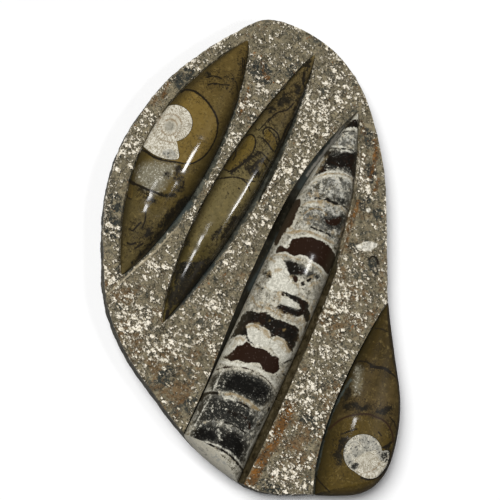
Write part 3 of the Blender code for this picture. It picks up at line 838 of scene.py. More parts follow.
for spindle, blotches, lines, browns, cells, painted_sheen, rim_lights in (
    ("spindle_left", LEFT_DARK_PATCHES, LEFT_DARK_LINES, (), LEFT_CELLS, LEFT_SHEEN_PATCHES, ()),
    ("spindle_middle", MIDDLE_DARK_PATCHES, MIDDLE_DARK_LINES, (), MIDDLE_CELLS, (), ()),
    (
        "spindle_right", RIGHT_DARK_PATCHES, RIGHT_DARK_LINES, RIGHT_BROWN_LINES,
        RIGHT_CELLS, RIGHT_SHEEN_PATCHES, RIGHT_RIM_LIGHT_LINES,
    ),
):
    MARKS[spindle] = (
        ("blotch", blotches, ()),
        ("dark", (), lines),
        ("brown", (), browns),
        ("cells", cells, ()),
        ("painted_sheen", painted_sheen, ()),
        ("peppered", PEPPERED[spindle], ()),
        ("rim", (), rim_lights),
    )
for goniatite in COIL_RINGS:
    MARKS[goniatite] = (
        ("rings", (), COIL_RINGS[goniatite]),
        ("umbilicus", COIL_MIDDLES[goniatite], ()),
        ("speckled", COIL_SPECKLES[goniatite], ()),
        ("black", COIL_BLACKS[goniatite], ()),
    )
FAR = 20.0  # distance in squares given to a point that is further from every mark
BARE_TO_DENSE = (-1.2, 1.2)
FLANK_STOPS = np.linspace(0.001, 0.999, 200)  # shares of the way along a fossil
NARROWEST = 0.5

# How the orthoceras's groove is coloured: distances from its line, shares of the way along it
GROOVE_REACH = 36
GROOVE_TURN = 10  # width over which the black left passes to the brown right
SHALLOW_FROM = 0.62
SHALLOW_RUN = 0.1
SHALLOW_SHARE = 4
# Share of the way along the orthoceras where the painted shade in its groove ends, and how fast it
# fades
GROOVE_SHADE_UNTIL = 0.9
GROOVE_SHADE_FADE = 6
RIM_CHIPS = 0.9  # how many more chips lie at the rim
RIM_CHIPS_REACH = 4.0


# --- Shapes ---


def smooth_line(points, closed, steps=4):
    """A Catmull-Rom curve through the points."""
    points = [Vector(point) for point in points]
    count = len(points)
    found = []
    for i in range(count if closed else count - 1):
        if closed:
            around = [(i + k) % count for k in (-1, 0, 1, 2)]
        else:
            around = [min(max(i + k, 0), count - 1) for k in (-1, 0, 1, 2)]
        before, here, after, beyond = (points[k] for k in around)
        for step in range(steps):
            t = step / steps
            linear = (after - before) * t
            square = (2 * before - 5 * here + 4 * after - beyond) * t**2
            cubic = (3 * here - before - 3 * after + beyond) * t**3
            found.append(0.5 * (2 * here + linear + square + cubic))
    found.append(found[0] if closed else points[-1])
    return found


def outline_by_angle():
    """Angles round the origin and the outline's distance at each."""
    outline = smooth_line(OUTLINE, True, OUTLINE_STEPS)[:-1]
    angles, reaches = zip(*sorted((atan2(p.y, p.x), p.length) for p in outline))
    return np.array(angles), np.array(reaches)


ANGLES, REACHES = outline_by_angle()


def reach(angle):
    return float(np.interp(angle, ANGLES, REACHES, period=2 * pi))


def smoothstep(value, low, high):
    t = min(max((value - low) / (high - low), 0.0), 1.0)
    return t * t * (3 - 2 * t)


def shoulder_inset(z):
    """How far the rounded edge of the slab lies inside its widest outline at a height."""
    if z <= WALL_TOP:
        return WALL_LEAN * max(z - LEAN_START, 0.0) / (WALL_TOP - LEAN_START)
    share = min((z - WALL_TOP) / SHOULDER_HEIGHT, 1.0)
    return WALL_LEAN + SHOULDER_REACH * (1 - sqrt(1 - share * share))


def square_to_disc(a, b):
    """Shirley and Chiu's map from a square of half side 1 to a disc: share of radius, angle."""
    if a == 0 and b == 0:
        return 0.0, 0.0
    if abs(a) > abs(b):
        share, angle = a, pi / 4 * b / a
    else:
        share, angle = b, pi / 2 - pi / 4 * a / b
    if share < 0:
        share, angle = -share, angle + pi
    return share, angle


def lumps(x, y, size, layer):
    return noise.noise(Vector((x / size, y / size, layer)))


def chipped(x, y):
    """Relief that the chisel left: the CAD model's lumps, with finer pecks and pits on them."""
    relief = sum(high * lumps(x, y, size, layer) for high, size, layer in CHISEL_LUMPS)
    return relief - PIT_DEPTH * max(lumps(x, y, PIT_SPACING, PIT_LAYER) - PIT_RARITY, 0.0)


def ground_share(angle):
    """1 on the stretch of the rim that was ground smooth, 0 off it."""
    turned = atan2(sin(angle), cos(angle))
    low, high = GROUND_EDGE
    starts = smoothstep(turned, low, low + GROUND_MARGIN)
    return starts * (1 - smoothstep(turned, high - GROUND_MARGIN, high))


def face_height(share, angle, x, y):
    """Height of the slab's face, given the share of the way from its middle to its rim."""
    fall = smoothstep(share, 1 - RIM_SHARE, 1.0)
    calm = 1 - GROUND_CALM[0] * ground_share(angle) * smoothstep(share, *GROUND_FACE)
    return FACE_LEVEL - RIM_DROP * fall + chipped(x, y) * (1 - RIM_CALM * fall) * calm


def rim_point(angle, inset, z, rough):
    """A point on the slab's side. The wall is knapped, so it wavers."""
    x, y = cos(angle), sin(angle)
    around = reach(angle)
    calm = rough * (1 - GROUND_CALM[1] * ground_share(angle) * smoothstep(z, *GROUND_WALL))
    wide, high = WALL_LUMPS
    broad = noise.noise(Vector((x * around / wide, y * around / wide, z / high)))
    fine = noise.noise(Vector((x * around / WALL_DENTS, y * around / WALL_DENTS, z / WALL_DENTS)))
    radius = around - inset + calm * (broad + DENT_SHARE * fine - WALL_BIAS)
    return Vector((x * radius, y * radius, z))


def close_below(bm, rings):
    """Runs the open border down through rings of (height, inset, roughness) and fills the last."""
    border = [edge for edge in bm.edges if edge.is_boundary]
    for z, inset, rough in rings:
        made = bmesh.ops.extrude_edge_only(bm, edges=border)["geom"]
        for vert in (g for g in made if isinstance(g, bmesh.types.BMVert)):
            vert.co = rim_point(atan2(vert.co.y, vert.co.x), inset, z, rough)
        border = [g for g in made if isinstance(g, bmesh.types.BMEdge) and g.is_boundary]
    bmesh.ops.contextual_create(bm, geom=border)


def wall_ring(z):
    if z <= ARRIS:
        return z, ARRIS_CLEAR + BACK_INSET * (1 - z / ARRIS), ARRIS_ROUGH
    return z, shoulder_inset(z) + WALL_CLEAR, WALL_ROUGH


def slab_mesh():
    """A square grid drawn into the outline for the face, with its border run down to the back."""
    bm = bmesh.new()
    bmesh.ops.create_grid(bm, x_segments=FACE_CELLS[0], y_segments=FACE_CELLS[1], size=1)
    for vert in bm.verts:
        share, angle = square_to_disc(vert.co.x, vert.co.y)
        radius = share * (reach(angle) - RIM_INSET)
        x, y = radius * cos(angle), radius * sin(angle)
        vert.co = (x, y, face_height(share, angle, x, y))
    close_below(bm, map(wall_ring, WALL_HEIGHTS))
    return bm


def envelope_mesh():
    """The closed body that trims the fossils where they reach the slab's edge."""
    top, *rings = [(z, shoulder_inset(z), 0.0) for z in ENVELOPE_HEIGHTS]
    bm = bmesh.new()
    bmesh.ops.create_circle(bm, segments=ENVELOPE_POINTS, radius=1, cap_ends=True)
    for vert in bm.verts:
        vert.co = rim_point(atan2(vert.co.y, vert.co.x), top[1], top[0], top[2])
    close_below(bm, rings)
    return bm


def ring_mesh(section, stations, points, upper):
    """A closed body from a UV sphere: its poles are the tips, and section(t, turn) gives the
    point of the ring at t, where turn is 0 on the right, a quarter turn on top. The upper half
    of a ring gets the share upper of its points."""
    bm = bmesh.new()
    bmesh.ops.create_uvsphere(bm, u_segments=points, v_segments=stations, radius=1)
    for vert in bm.verts:
        t = 1 - atan2(hypot(vert.co.x, vert.co.y), vert.co.z) / pi
        share = (atan2(vert.co.y, vert.co.x) / (2 * pi)) % 1.0
        if share <= upper:
            turn = pi * share / upper
        else:
            turn = -pi * (1 - share) / (1 - upper)
        vert.co = section(t, turn)
    return bm


def fossil_mesh(fossil):
    """Crown above and keel below, meeting along the bottom of the groove on each side."""

    def section(t, turn):
        middle, half = fossil.span(t, False)
        across = middle - half * cos(turn)
        if sin(turn) < -SMALL:
            return fossil.place(t, across, fossil.floor(t, across) + GAP)
        edge = middle - half * (1 if cos(turn) > 0 else -1)
        low = fossil.floor(t, edge) + GAP
        arch = 1 - ARCH_SAG * cos(turn) ** 2 - (1 - ARCH_SAG) * cos(turn) ** ARCH_POWER
        share = sin(turn) + fossil.flat * (arch - sin(turn))
        return fossil.place(t, across, low + (fossil.ridge(t) - low) * share)

    girth = CROWN_GIRTH * (fossil.half[0] + fossil.half[1])
    stations = int(fossil.length / STEP / STATION_STRETCH)
    return ring_mesh(section, stations, int(girth / STEP / CROWN_PART), CROWN_PART)


def trough_mesh(fossil):
    """The cutter that sinks a fossil's trough: a rounded floor under straight walls."""
    overrun = TROUGH_OVERRUN / fossil.length

    def section(t, turn):
        middle, half = fossil.span(t, True)
        stretched = t + overrun * (2 * t - 1)
        if sin(turn) > SMALL:
            across = middle - half * min(max(TROUGH_SQUARE * cos(turn), -1.0), 1.0)
            return fossil.place(stretched, across, CUT_TOP)
        across = middle - half * cos(turn)
        return fossil.place(stretched, across, fossil.floor(t, across))

    return ring_mesh(section, TROUGH_STATIONS, TROUGH_POINTS, 1 - CROWN_PART)


def coil_mesh(centre, mouth, coil, whorl, clear, foot, head):
    """A prism on the outline of a coiled shell, grown all round by clear. Its last point lies
    straight outside its first, so that the mouth is a step."""
    bm = bmesh.new()
    bmesh.ops.create_circle(bm, segments=COIL_POINTS + 1, radius=1, cap_ends=True)
    for i, vert in enumerate(bm.verts):
        turn = i / COIL_POINTS
        radius = coil + (whorl - coil) * smoothstep(turn, WHORL_START, WHORL_FULL) + clear
        short = COIL_LIP - 2 * pi * whorl * (1 - turn)
        if short > 0:
            radius -= COIL_LIP - sqrt(COIL_LIP**2 - short**2)
        angle = radians(mouth) + 2 * pi * turn
        if i == COIL_POINTS:
            angle += clear / radius
        vert.co = (centre[0] + radius * cos(angle), centre[1] + radius * sin(angle), foot)
    made = bmesh.ops.extrude_face_region(bm, geom=list(bm.faces))["geom"]
    top = [g for g in made if isinstance(g, bmesh.types.BMVert)]
    bmesh.ops.translate(bm, verts=top, vec=(0, 0, head - foot))
    return bm


def add_object(name, bm, *surfaces, use=0):
    """An object from a bmesh in millimetres, whose faces wear the surface number use."""
    bmesh.ops.remove_doubles(bm, verts=bm.verts, dist=MERGE)
    bmesh.ops.recalc_face_normals(bm, faces=bm.faces)
    bmesh.ops.scale(bm, vec=(MM, MM, MM), verts=bm.verts)
    for face in bm.faces:
        face.material_index = use
    mesh = bpy.data.meshes.new(name)
    bm.to_mesh(mesh)
    bm.free()
    for surface in surfaces:
        mesh.materials.append(surface)
    return link(name, mesh)


def link(name, data):
    """An object for a mesh, a lamp or a camera, in the scene."""
    made = bpy.data.objects.new(name, data)
    bpy.context.scene.collection.objects.link(made)
    return made


def cut(made, operation, cutters):
    """Applies a Boolean with each of the cutters. A cut face keeps its cutter's surface number."""
    for cutter in cutters:
        step = made.modifiers.new("cut", "BOOLEAN")
        step.operation = operation
        step.solver = "EXACT"
        step.object = cutter
    graph = bpy.context.evaluated_depsgraph_get()
    mesh = bpy.data.meshes.new_from_object(made.evaluated_get(graph))
    made.modifiers.clear()
    made.data = mesh
    mesh.name = made.name


# --- Marks: distances to what is drawn ---


def points_of(mesh):
    """A mesh's points in millimetres."""
    points = np.empty(len(mesh.vertices) * 3)
    mesh.vertices.foreach_get("co", points)
    return points.reshape(-1, 3) / MM


def on_drawing(mesh):
    """Where a mesh's points lie on the drawing, in squares."""
    offset = points_of(mesh) - np.array(EYE)
    scale = VIEW_DISTANCE / SQUARE / (offset @ np.array(FORWARD))
    across = PAPER / 2 + offset @ np.array(RIGHT) * scale
    down = PAPER / 2 - offset @ np.array(UP) * scale
    return np.stack((across, down), axis=1)


def line_distance(places, points):
    """Distance in squares from each place to a line through the points."""
    best = np.full(len(places), np.inf)
    for start, end in zip(points, points[1:]):
        start, run = np.array(start), np.array(end - start)
        share = np.clip((places - start) @ run / max(run @ run, SMALL), 0, 1)
        best = np.minimum(best, np.hypot(*(places - start - share[:, None] * run).T))
    return best


def inside(places, points):
    """Even-odd test of each place against a closed outline."""
    found = np.zeros(len(places), bool)
    x, y = places.T
    for start, end in zip(points, points[1:]):
        if start.y == end.y:
            continue
        spans = (start.y > y) != (end.y > y)
        found ^= spans & (x < start.x + (y - start.y) * (end.x - start.x) / (end.y - start.y))
    return found


def write_values(mesh, name, values):
    made = mesh.attributes.new(name, "FLOAT", "POINT")
    made.data.foreach_set("value", values.astype(np.float32))


def record_marks(mesh, marks):
    """Gives each mesh point its distance in millimetres to the nearest mark of each name,
    negative inside."""
    places = on_drawing(mesh)
    for name, patches, lines in marks:
        best = np.full(len(places), FAR)
        for patch in patches:
            outline = smooth_line(patch, True)
            away = line_distance(places, outline)
            best = np.minimum(best, np.where(inside(places, outline), -away, away))
        for half_width, points in lines:
            away = line_distance(places, smooth_line(points, False))
            best = np.minimum(best, away - half_width)
        write_values(mesh, name, best * SQUARE)


def record_spots(mesh, name, dense, bare=(), before=0.0):
    """Gives each mesh point a value near 1 in the dense places, near -1 in the bare ones."""
    places = on_drawing(mesh)
    total = np.zeros(len(places)) + before
    for sign, spots in ((1, dense), (-1, bare)):
        for x, y, radius in spots:
            away = np.hypot(places[:, 0] - x, places[:, 1] - y) / radius
            total += sign * np.exp(-away * away)
    write_values(mesh, name, np.clip(total, *BARE_TO_DENSE))


def along_and_across(mesh, fossil):
    """Each mesh point's share of the way along a fossil, and its distance to the left of it."""
    offset = points_of(mesh)[:, :2] - np.array(fossil.foot)
    return offset @ np.array(fossil.along) / fossil.length, offset @ np.array(fossil.left)


def record_flanks(mesh, fossil):
    """Gives each mesh point its share of the way from the middle of a fossil to its edge."""
    along, across = along_and_across(mesh, fossil)
    along = np.clip(along, FLANK_STOPS[0], FLANK_STOPS[-1])
    spans = np.array([fossil.span(t, False) for t in FLANK_STOPS])
    drifts = [fossil.drift(t) for t in FLANK_STOPS]
    middle = np.interp(along, FLANK_STOPS, spans[:, 0] - drifts)
    half = np.interp(along, FLANK_STOPS, spans[:, 1])
    write_values(mesh, "flank", np.abs(across - middle) / np.maximum(half, NARROWEST))
    write_values(mesh, "along", along)


def record_slab(mesh):
    """Where the slab is browner, where a groove is painted dark as shade, and where it is pecked.
    """
    record_spots(mesh, "warmth", SLAB_WARM)
    along, across = along_and_across(mesh, ORTHOCERAS)
    near = np.abs(across) < GROOVE_REACH
    right = np.clip(0.5 - across / GROOVE_TURN, 0, 1)
    shallow = right * np.clip((along - SHALLOW_FROM) / SHALLOW_RUN, 0, 1)
    # Painted shade: the groove along the orthoceras is marked for painting nearly black, fading out
    # near its tip.
    groove_shade = np.clip((GROOVE_SHADE_UNTIL - along) * GROOVE_SHADE_FADE, 0, 1) - SHALLOW_SHARE * shallow
    write_values(mesh, "browned", np.where(near, right - shallow, 0))
    write_values(mesh, "groove_shade", np.where(near, groove_shade, 0))
    x, y, _ = points_of(mesh).T
    angles = np.arctan2(y, x)
    ground = np.array([ground_share(angle) for angle in angles])
    write_values(mesh, "ground", ground)
    inward = np.array([reach(angle) for angle in angles]) - np.hypot(x, y)
    rim = RIM_CHIPS * (1 - ground) * np.exp(-((inward / RIM_CHIPS_REACH) ** 2))
    record_spots(mesh, "pecked", SLAB_DENSE, SLAB_BARE, rim)


# --- Materials ---

NEUTRAL = 0.5  # middle of a pattern
WANDER = 5  # how far a ragged edge strays, over its raggedness
WANDER_SEED = 5.0
SEAM_CORE = 0.4
CHIP_WARP_SIZE = 0.55  # size of the warp that makes a chip angular, over the chip's
CHIP_WARP = 3.2
CHIP_RARITY = -0.48
CHIP_CROWDING = 0.24
SAW_MARKS = 9.0  # spacing of the saw's marks on the back, drawn coarse enough to show
CALCITE_IOR = 1.5
BEST_POLISH = 0.8
# Heights between which the worked face passes to the wall, the wall to the sawn back, and the
# ground grooves to the worked face
TO_WALL = (21.7, 20.5)
TO_BACK = (0.4, 0.2)
TO_FACE = (27.4, 28.8)
# Distances from a coil's middle between which its ribs and its furrows set in
RIBS_START = (2.5, 5.0)
FURROWS_START = (3.5, 6.0)


def paint(code):
    """Linear colour from an sRGB hex code."""
    parts = [int(code[i : i + 2], 16) / 255 for i in (1, 3, 5)]
    return (*(p / 12.92 if p <= 0.04045 else ((p + 0.055) / 1.055) ** 2.4 for p in parts), 1)


class Finish:
    """The nodes of one material, or of the room. Its patterns run from 0 to 1 over the stone.
    Sizes are in millimetres, and each pattern has a seed of its own."""

    def __init__(self, owner):
        owner.use_nodes = True
        self.owner = owner
        self.tree = owner.node_tree
        self.place = None

    def add(self, kind, inputs=(), output=0, **settings):
        """Adds a node with its settings and links, and gives one of its outputs."""
        made = self.tree.nodes.new(f"ShaderNode{kind}")
        for name, value in settings.items():
            setattr(made, name, value)
        for name, value in inputs.items() if isinstance(inputs, dict) else enumerate(inputs):
            self.feed(made.inputs[name], value)
        return made.outputs[output]

    def feed(self, socket, value):
        """Gives a socket another node's output, the colour of a hex code, the values that the
        mesh carries under a name, or a plain number."""
        if isinstance(value, str) and value.startswith("#"):
            value = paint(value)
        elif isinstance(value, str):
            value = self.add("Attribute", output="Fac", attribute_name=value)
        if isinstance(value, bpy.types.NodeSocket):
            self.tree.links.new(value, socket)
        else:
            socket.default_value = value

    def grain(self, size, seed, detail, roughness, distortion=0.0, place=None):
        """Irregular pattern with features of about one size."""
        values = {
            "Vector": place or self.place,
            "W": seed,
            "Scale": 1 / (size * MM),
            "Detail": detail,
            "Roughness": roughness,
            "Distortion": distortion,
        }
        return self.add("TexNoise", values, noise_dimensions="4D")

    def cover(self, *parts):
        """The product of its parts. A part is a value, or a value with two levels, between which
        it is made to rise from 0 to 1. With the higher level first it falls instead."""
        product = 1.0
        for part in parts:
            if isinstance(part, tuple):
                levels = dict(zip(("Value", "From Min", "From Max"), part))
                part = self.add("MapRange", levels, interpolation_type="SMOOTHSTEP")
            if product != 1.0:
                part = self.add("Math", (product, part), operation="MULTIPLY")
            product = part
        return product

    def coats(self, under, *coats):
        """Lays coats over one another. Each is a colour and the parts of its cover."""
        for colour, *parts in coats:
            values = {0: self.cover(*parts), 6: under, 7: colour}
            under = self.add("Mix", values, 2, data_type="RGBA")
        return under

    def drawn(self, name, ragged, soft, size, seed, grown=0.0):
        """Where the marks recorded under a name lie, grown all round, with a ragged edge."""
        grain = self.grain(size, seed + WANDER_SEED, 5.0, 0.78)
        wander = self.add("Math", (grain, NEUTRAL), operation="SUBTRACT")
        away = self.add("Math", (wander, WANDER * ragged, name), operation="MULTIPLY_ADD")
        return self.cover((away, grown + soft, grown - soft))

    def seams(self, size, seed, width):
        """Thin winding lines about one size apart."""
        grain = self.grain(size, seed, 4.0, 0.6, 0.8)
        away = self.add("Math", (grain, NEUTRAL), operation="SUBTRACT")
        away = self.add("Math", (away,), operation="ABSOLUTE")
        return self.cover((away, width, width * SEAM_CORE))

    def chips(self, place, size, seed, density):
        """Angular chips of unequal width in cells of one size: above 0 on a chip."""
        warp = self.grain(size * CHIP_WARP_SIZE, seed, 3.0, 0.6, place=place)
        warp = self.add("Math", (warp, NEUTRAL), operation="SUBTRACT")
        warp = self.add("Math", (warp, CHIP_WARP * size * MM), operation="MULTIPLY")
        back = self.add("Math", (warp, -1.0), operation="MULTIPLY")
        warped = (place, self.add("CombineXYZ", (warp, back)))
        values = {
            "Vector": self.add("VectorMath", warped, operation="ADD"),
            "W": seed,
            "Scale": 1 / (size * MM),
        }
        away = self.add("TexVoronoi", values, "Distance", voronoi_dimensions="4D")
        width = self.add("SeparateColor", (away.node.outputs["Color"],))
        width = self.add("Math", (width, CHIP_RARITY), operation="ADD")
        width = self.add("Math", (density, CHIP_CROWDING, width), operation="MULTIPLY_ADD")
        return self.add("Math", (width, away), operation="SUBTRACT")

    def level(self):
        """Height above the table in millimetres."""
        height = self.add("SeparateXYZ", (self.place,), "Z")
        return self.add("Math", (height, MM), operation="DIVIDE")

    def polished(self, start, dull, smoother, gleam, brighter):
        """Roughness and gleam, which change together where the polish is best."""
        polish = self.cover(("polish", start, BEST_POLISH))
        gloss = self.add("Math", (polish, -smoother, dull), operation="MULTIPLY_ADD")
        return gloss, self.add("Math", (polish, brighter, gleam), operation="MULTIPLY_ADD")

    def close(self, colour, height, depth, roughness, gleam=0.5):
        """Joins colour, a relief of some depth, roughness and gleam to the shader."""
        relief = {"Height": height, "Distance": depth * MM, "Strength": 1.0}
        values = {
            "Base Color": colour,
            "IOR": CALCITE_IOR,
            "Roughness": roughness,
            "Specular IOR Level": gleam,
            "Normal": self.add("Bump", relief),
        }
        for name, value in values.items():
            self.feed(self.tree.nodes["Principled BSDF"].inputs[name], value)
        return self.owner


def start_finish(name):
    """A new material whose patterns are fixed to the piece."""
    finish = Finish(bpy.data.materials.new(name))
    finish.place = finish.add("TexCoord", output="Object")
    return finish


def rough_stone(stone):
    """Colour and relief of limestone worked with a point chisel."""
    broad = stone.grain(14.0, 1.0, 4.0, 0.6)
    tone = stone.grain(5.0, 2.0, 6.0, 0.72, 0.4)
    green = stone.grain(7.0, 8.0, 6.0, 0.72, 0.5)
    fine = stone.grain(1.5, 3.0, 4.0, 0.75)
    specks = stone.grain(1.3, 6.0, 3.0, 0.7)
    bruises = stone.grain(2.6, 10.0, 6.0, 0.78, 0.3)
    density = stone.add("Math", ("pecked", -1.0), operation="ADD")
    density = stone.add("Math", (broad, 2.6, density), operation="MULTIPLY_ADD")
    bruised = stone.add("Math", (bruises, -0.575), operation="ADD")
    bruised = stone.add("Math", (density, 0.03, bruised), operation="MULTIPLY_ADD")
    # Painted shadow: the chips are drawn again a little to the side, and painted nearly black
    # there, so that each cream chip has a painted shadow beside it.
    shadow_side = (-0.6 * MM, 0.5 * MM, 0.0)
    shaded = stone.add("VectorMath", (stone.place, shadow_side), operation="ADD")
    both, shade = (
        stone.add(
            "Math",
            (stone.chips(place, 2.4, 4.0, density), stone.chips(place, 1.45, 5.0, density)),
            operation="MAXIMUM",
        )
        for place in (stone.place, shaded)
    )
    both = stone.add("Math", (both, stone.cover(bruised, 2.5)), operation="MAXIMUM")
    rust = stone.cover(stone.drawn("rust", 1.6, 0.9, 5.0, 2.0), (fine, 0.36, 0.5))
    warmth = (stone.grain(10.0, 7.0, 6.0, 0.75), stone.cover("warmth", 0.11))
    warmth = stone.add("Math", warmth, operation="ADD")
    crystals = stone.drawn("crystals", 0.6, 0.5, 3.0, 6.0)
    colour = stone.coats(
        "#716a56",
        ("#8e846b", (tone, 0.49, 0.56)),
        ("#4b4536", (tone, 0.46, 0.4)),
        ("#6c5234", (warmth, 0.56, 0.64), 0.75),
        ("#42443e", (green, 0.55, 0.59), 0.85),
        ("#343733", stone.drawn("dark", 1.0, 0.8, 5.0, 1.0), (tone, 0.6, 0.5)),
        ("#9a8c70", (fine, 0.53, 0.6), 0.65),
        ("#60401c", rust, 0.85),
        ("#845724", rust, (tone, 0.48, 0.56), 0.85),
        ("#26241d", (specks, 0.46, 0.39), 0.85),
        ("#83552c", (stone.grain(3.6, 9.0, 5.0, 0.7), 0.62, 0.67)),
        # Painted shadow beside each chip.
        ("#211f19", (shade, 0.0, 0.06), 0.85),
        ("#a89c82", (both, -0.02, 0.03)),
        ("#d3c8ae", (both, 0.03, 0.1), (fine, 0.4, 0.5)),
        ("#f7efdd", (both, 0.08, 0.16), (fine, 0.42, 0.5)),
        ("#b9b29c", crystals),
        ("#ece7d8", crystals, (fine, 0.4, 0.48)),
        ("#c2b598", stone.drawn("scratches", 0.2, 0.3, 2.0, 4.0), 0.7),
        ("#2b241b", stone.drawn("cracks", 0.15, 0.15, 2.0, 3.0)),
    )
    relief = (stone.cover((both, -0.1, 0.15)), 0.6, tone)
    relief = (fine, 0.6, stone.add("Math", relief, operation="MULTIPLY_ADD"))
    return colour, stone.add("Math", relief, operation="MULTIPLY_ADD")


def pecked_limestone():
    """Dark limestone worked with a point chisel: grey-brown, with cream crushed chips where
    each blow fell, a painted shadow beside each chip and rusty stains. The sides are duller and
    darker, with few chips. Quite matt."""
    stone = start_finish("pecked_limestone")
    colour, relief = rough_stone(stone)
    level = (stone.grain(6.0, 61.0, 4.0, 0.65), 3.5, stone.level())
    level = ("ground", -3.5, stone.add("Math", level, operation="MULTIPLY_ADD"))
    side = stone.cover((stone.add("Math", level, operation="MULTIPLY_ADD"), *TO_WALL))
    patchy = stone.grain(7.0, 62.0, 5.0, 0.65)
    fine = stone.grain(1.6, 63.0, 4.0, 0.7)
    wall = stone.coats(
        "#4b4a43",
        ("#5d594d", (patchy, 0.45, 0.6)),
        ("#3a3c39", (patchy, 0.44, 0.36)),
        ("#857c69", (fine, 0.56, 0.66), 0.7),
        ("#2c2b27", (fine, 0.42, 0.35), 0.7),
    )
    marks = {"Vector": stone.place, "Scale": 1 / (SAW_MARKS * MM), "Distortion": 0.6}
    saw = stone.add("TexWave", marks, "Fac", bands_direction="DIAGONAL")
    sawn = stone.coats("#68655b", ("#7c786c", saw, 0.4))
    back = stone.cover((stone.level(), *TO_BACK))
    colour = stone.coats(colour, (wall, side), (sawn, back))
    calm = stone.add("Math", (side, -0.6, 1.0), operation="MULTIPLY_ADD")
    return stone.close(colour, stone.cover(relief, calm), 0.8, 0.85)


def ground_limestone():
    """The same limestone cut by a burr along the grooves and half polished: grey, slate blue
    where it is smoothest, painted nearly black as shade on the left of the orthoceras and brown on
    its right.
    It is ragged where it meets the face."""
    stone = start_finish("ground_limestone")
    rough, _ = rough_stone(stone)
    tone = stone.grain(5.0, 11.0, 5.0, 0.7)
    fine = stone.grain(1.4, 12.0, 4.0, 0.7)
    slate = stone.drawn("slate", 0.6, 1.2, 5.0, 11.0)
    # Painted shade: the groove on the orthoceras's left is painted nearly black.
    black = stone.add("Math", ("groove_shade", "browned"), operation="SUBTRACT")
    black = stone.add("Math", (black, 0.0), operation="MAXIMUM")
    colour = stone.coats(
        "#43443c",
        ("#595a50", (tone, 0.5, 0.58)),
        ("#292a24", (tone, 0.46, 0.38)),
        # Painted shade in the groove left of the orthoceras.
        ("#1a180f", black, 0.9),
        ("#382f1b", "browned", 0.9),
        ("#4c4330", "browned", (tone, 0.53, 0.6)),
        ("#211b0e", "browned", (tone, 0.47, 0.4)),
        ("#6b6350", (fine, 0.56, 0.66), 0.5),
        ("#3c4341", slate, 0.9),
        ("#98948a", stone.drawn("rind", 0.8, 0.5, 3.0, 12.0), 0.9),
        ("#191813", (fine, 0.44, 0.36), 0.5),
    )
    level = stone.add("Math", ("groove_shade", -1.6, stone.level()), operation="MULTIPLY_ADD")
    level = (stone.grain(3.0, 13.0, 5.0, 0.75), 10.0, level)
    level = stone.add("Math", level, operation="MULTIPLY_ADD")
    smooth = stone.add("Math", (slate, -0.7, 1.0), operation="MULTIPLY_ADD")
    colour = stone.coats(colour, (rough, (level, *TO_FACE), smooth))
    return stone.close(colour, fine, 0.15, 0.42)


def polished_brown(name, foot, middle, tip, cell):
    """Fine brown limestone polished to a gloss: olive brown with yellower cells, black seams,
    grey patches painted as a broad reflection and flanks painted darker as shade. The polish is
    uneven, so that a light is mirrored in broken streaks."""
    stone = start_finish(name)
    tone = stone.grain(14.0, 21.0, 5.0, 0.6)
    mottle = stone.grain(3.2, 22.0, 6.0, 0.75, 0.4)
    fine = stone.grain(1.3, 23.0, 4.0, 0.7)
    # Painted reflection: a grey sheen with pale flecks where a broad light is mirrored in the
    # polish.
    painted_sheen = stone.drawn("painted_sheen", 1.5, 4.0, 5.0, 22.0)
    blotch = stone.drawn("blotch", 2.4, 0.8, 4.0, 26.0)
    pepper = (stone.cover((fine, 0.5, 0.42)), stone.seams(3.2, 31.0, 0.03))
    pepper = stone.add("Math", pepper, operation="MAXIMUM")
    peppered = stone.drawn("peppered", 2.0, 2.0, 4.0, 30.0)
    along = stone.add("Math", (tone, 0.5, "along"), operation="MULTIPLY_ADD")
    colour = stone.coats(
        foot,
        (middle, (along, 0.45, 0.65)),
        (tip, (along, 0.85, 1.05)),
        (cell, stone.drawn("cells", 0.15, 0.3, 2.0, 21.0), 0.85),
        ("#857345", (mottle, 0.52, 0.62), 0.4),
        ("#3a3116", (mottle, 0.46, 0.36), 0.55),
        ("#2a2310", (fine, 0.46, 0.36), 0.4),
        # Painted shade: the flanks are painted darker towards the edge, where the crown turns away
        # from the light.
        ("#292312", ("flank", 0.5, 0.98), 0.78),
        # Painted reflection.
        ("#7c7867", painted_sheen, 0.75),
        ("#a5a190", painted_sheen, (fine, 0.52, 0.62)),
        ("#cfcabb", painted_sheen, (stone.grain(1.3, 24.0, 2.0, 0.55), 0.6, 0.68)),
        ("#2b2314", stone.seams(9.0, 25.0, 0.014), (mottle, 0.44, 0.56), 0.7),
        ("#2b2314", stone.seams(4.5, 27.0, 0.018), (tone, 0.5, 0.58), 0.75),
        ("#29241a", blotch, (mottle, 0.62, 0.48)),
        ("#1a1811", blotch, (fine, 0.56, 0.48)),
        ("#241f15", stone.drawn("blotch", 3.0, 2.5, 5.0, 29.0), (fine, 0.56, 0.62), 0.85),
        ("#231d12", pepper, peppered, (mottle, 0.4, 0.5), 0.85),
        ("#302215", stone.drawn("brown", 0.15, 0.2, 1.6, 24.0)),
        ("#1e1911", stone.drawn("dark", 0.35, 0.25, 2.0, 23.0, 0.12)),
        # Painted rim light along the right spindle's left edge.
        ("#4c5653", stone.drawn("rim", 1.0, 0.7, 3.0, 34.0), 0.65),
    )
    wear = (stone.grain(6.0, 28.0, 3.0, 0.55), 0.12, 0.32)
    wear = stone.add("Math", wear, operation="MULTIPLY_ADD")
    return stone.close(colour, fine, 0.001, *stone.polished(0.1, wear, 0.29, 0.17, 0.3))


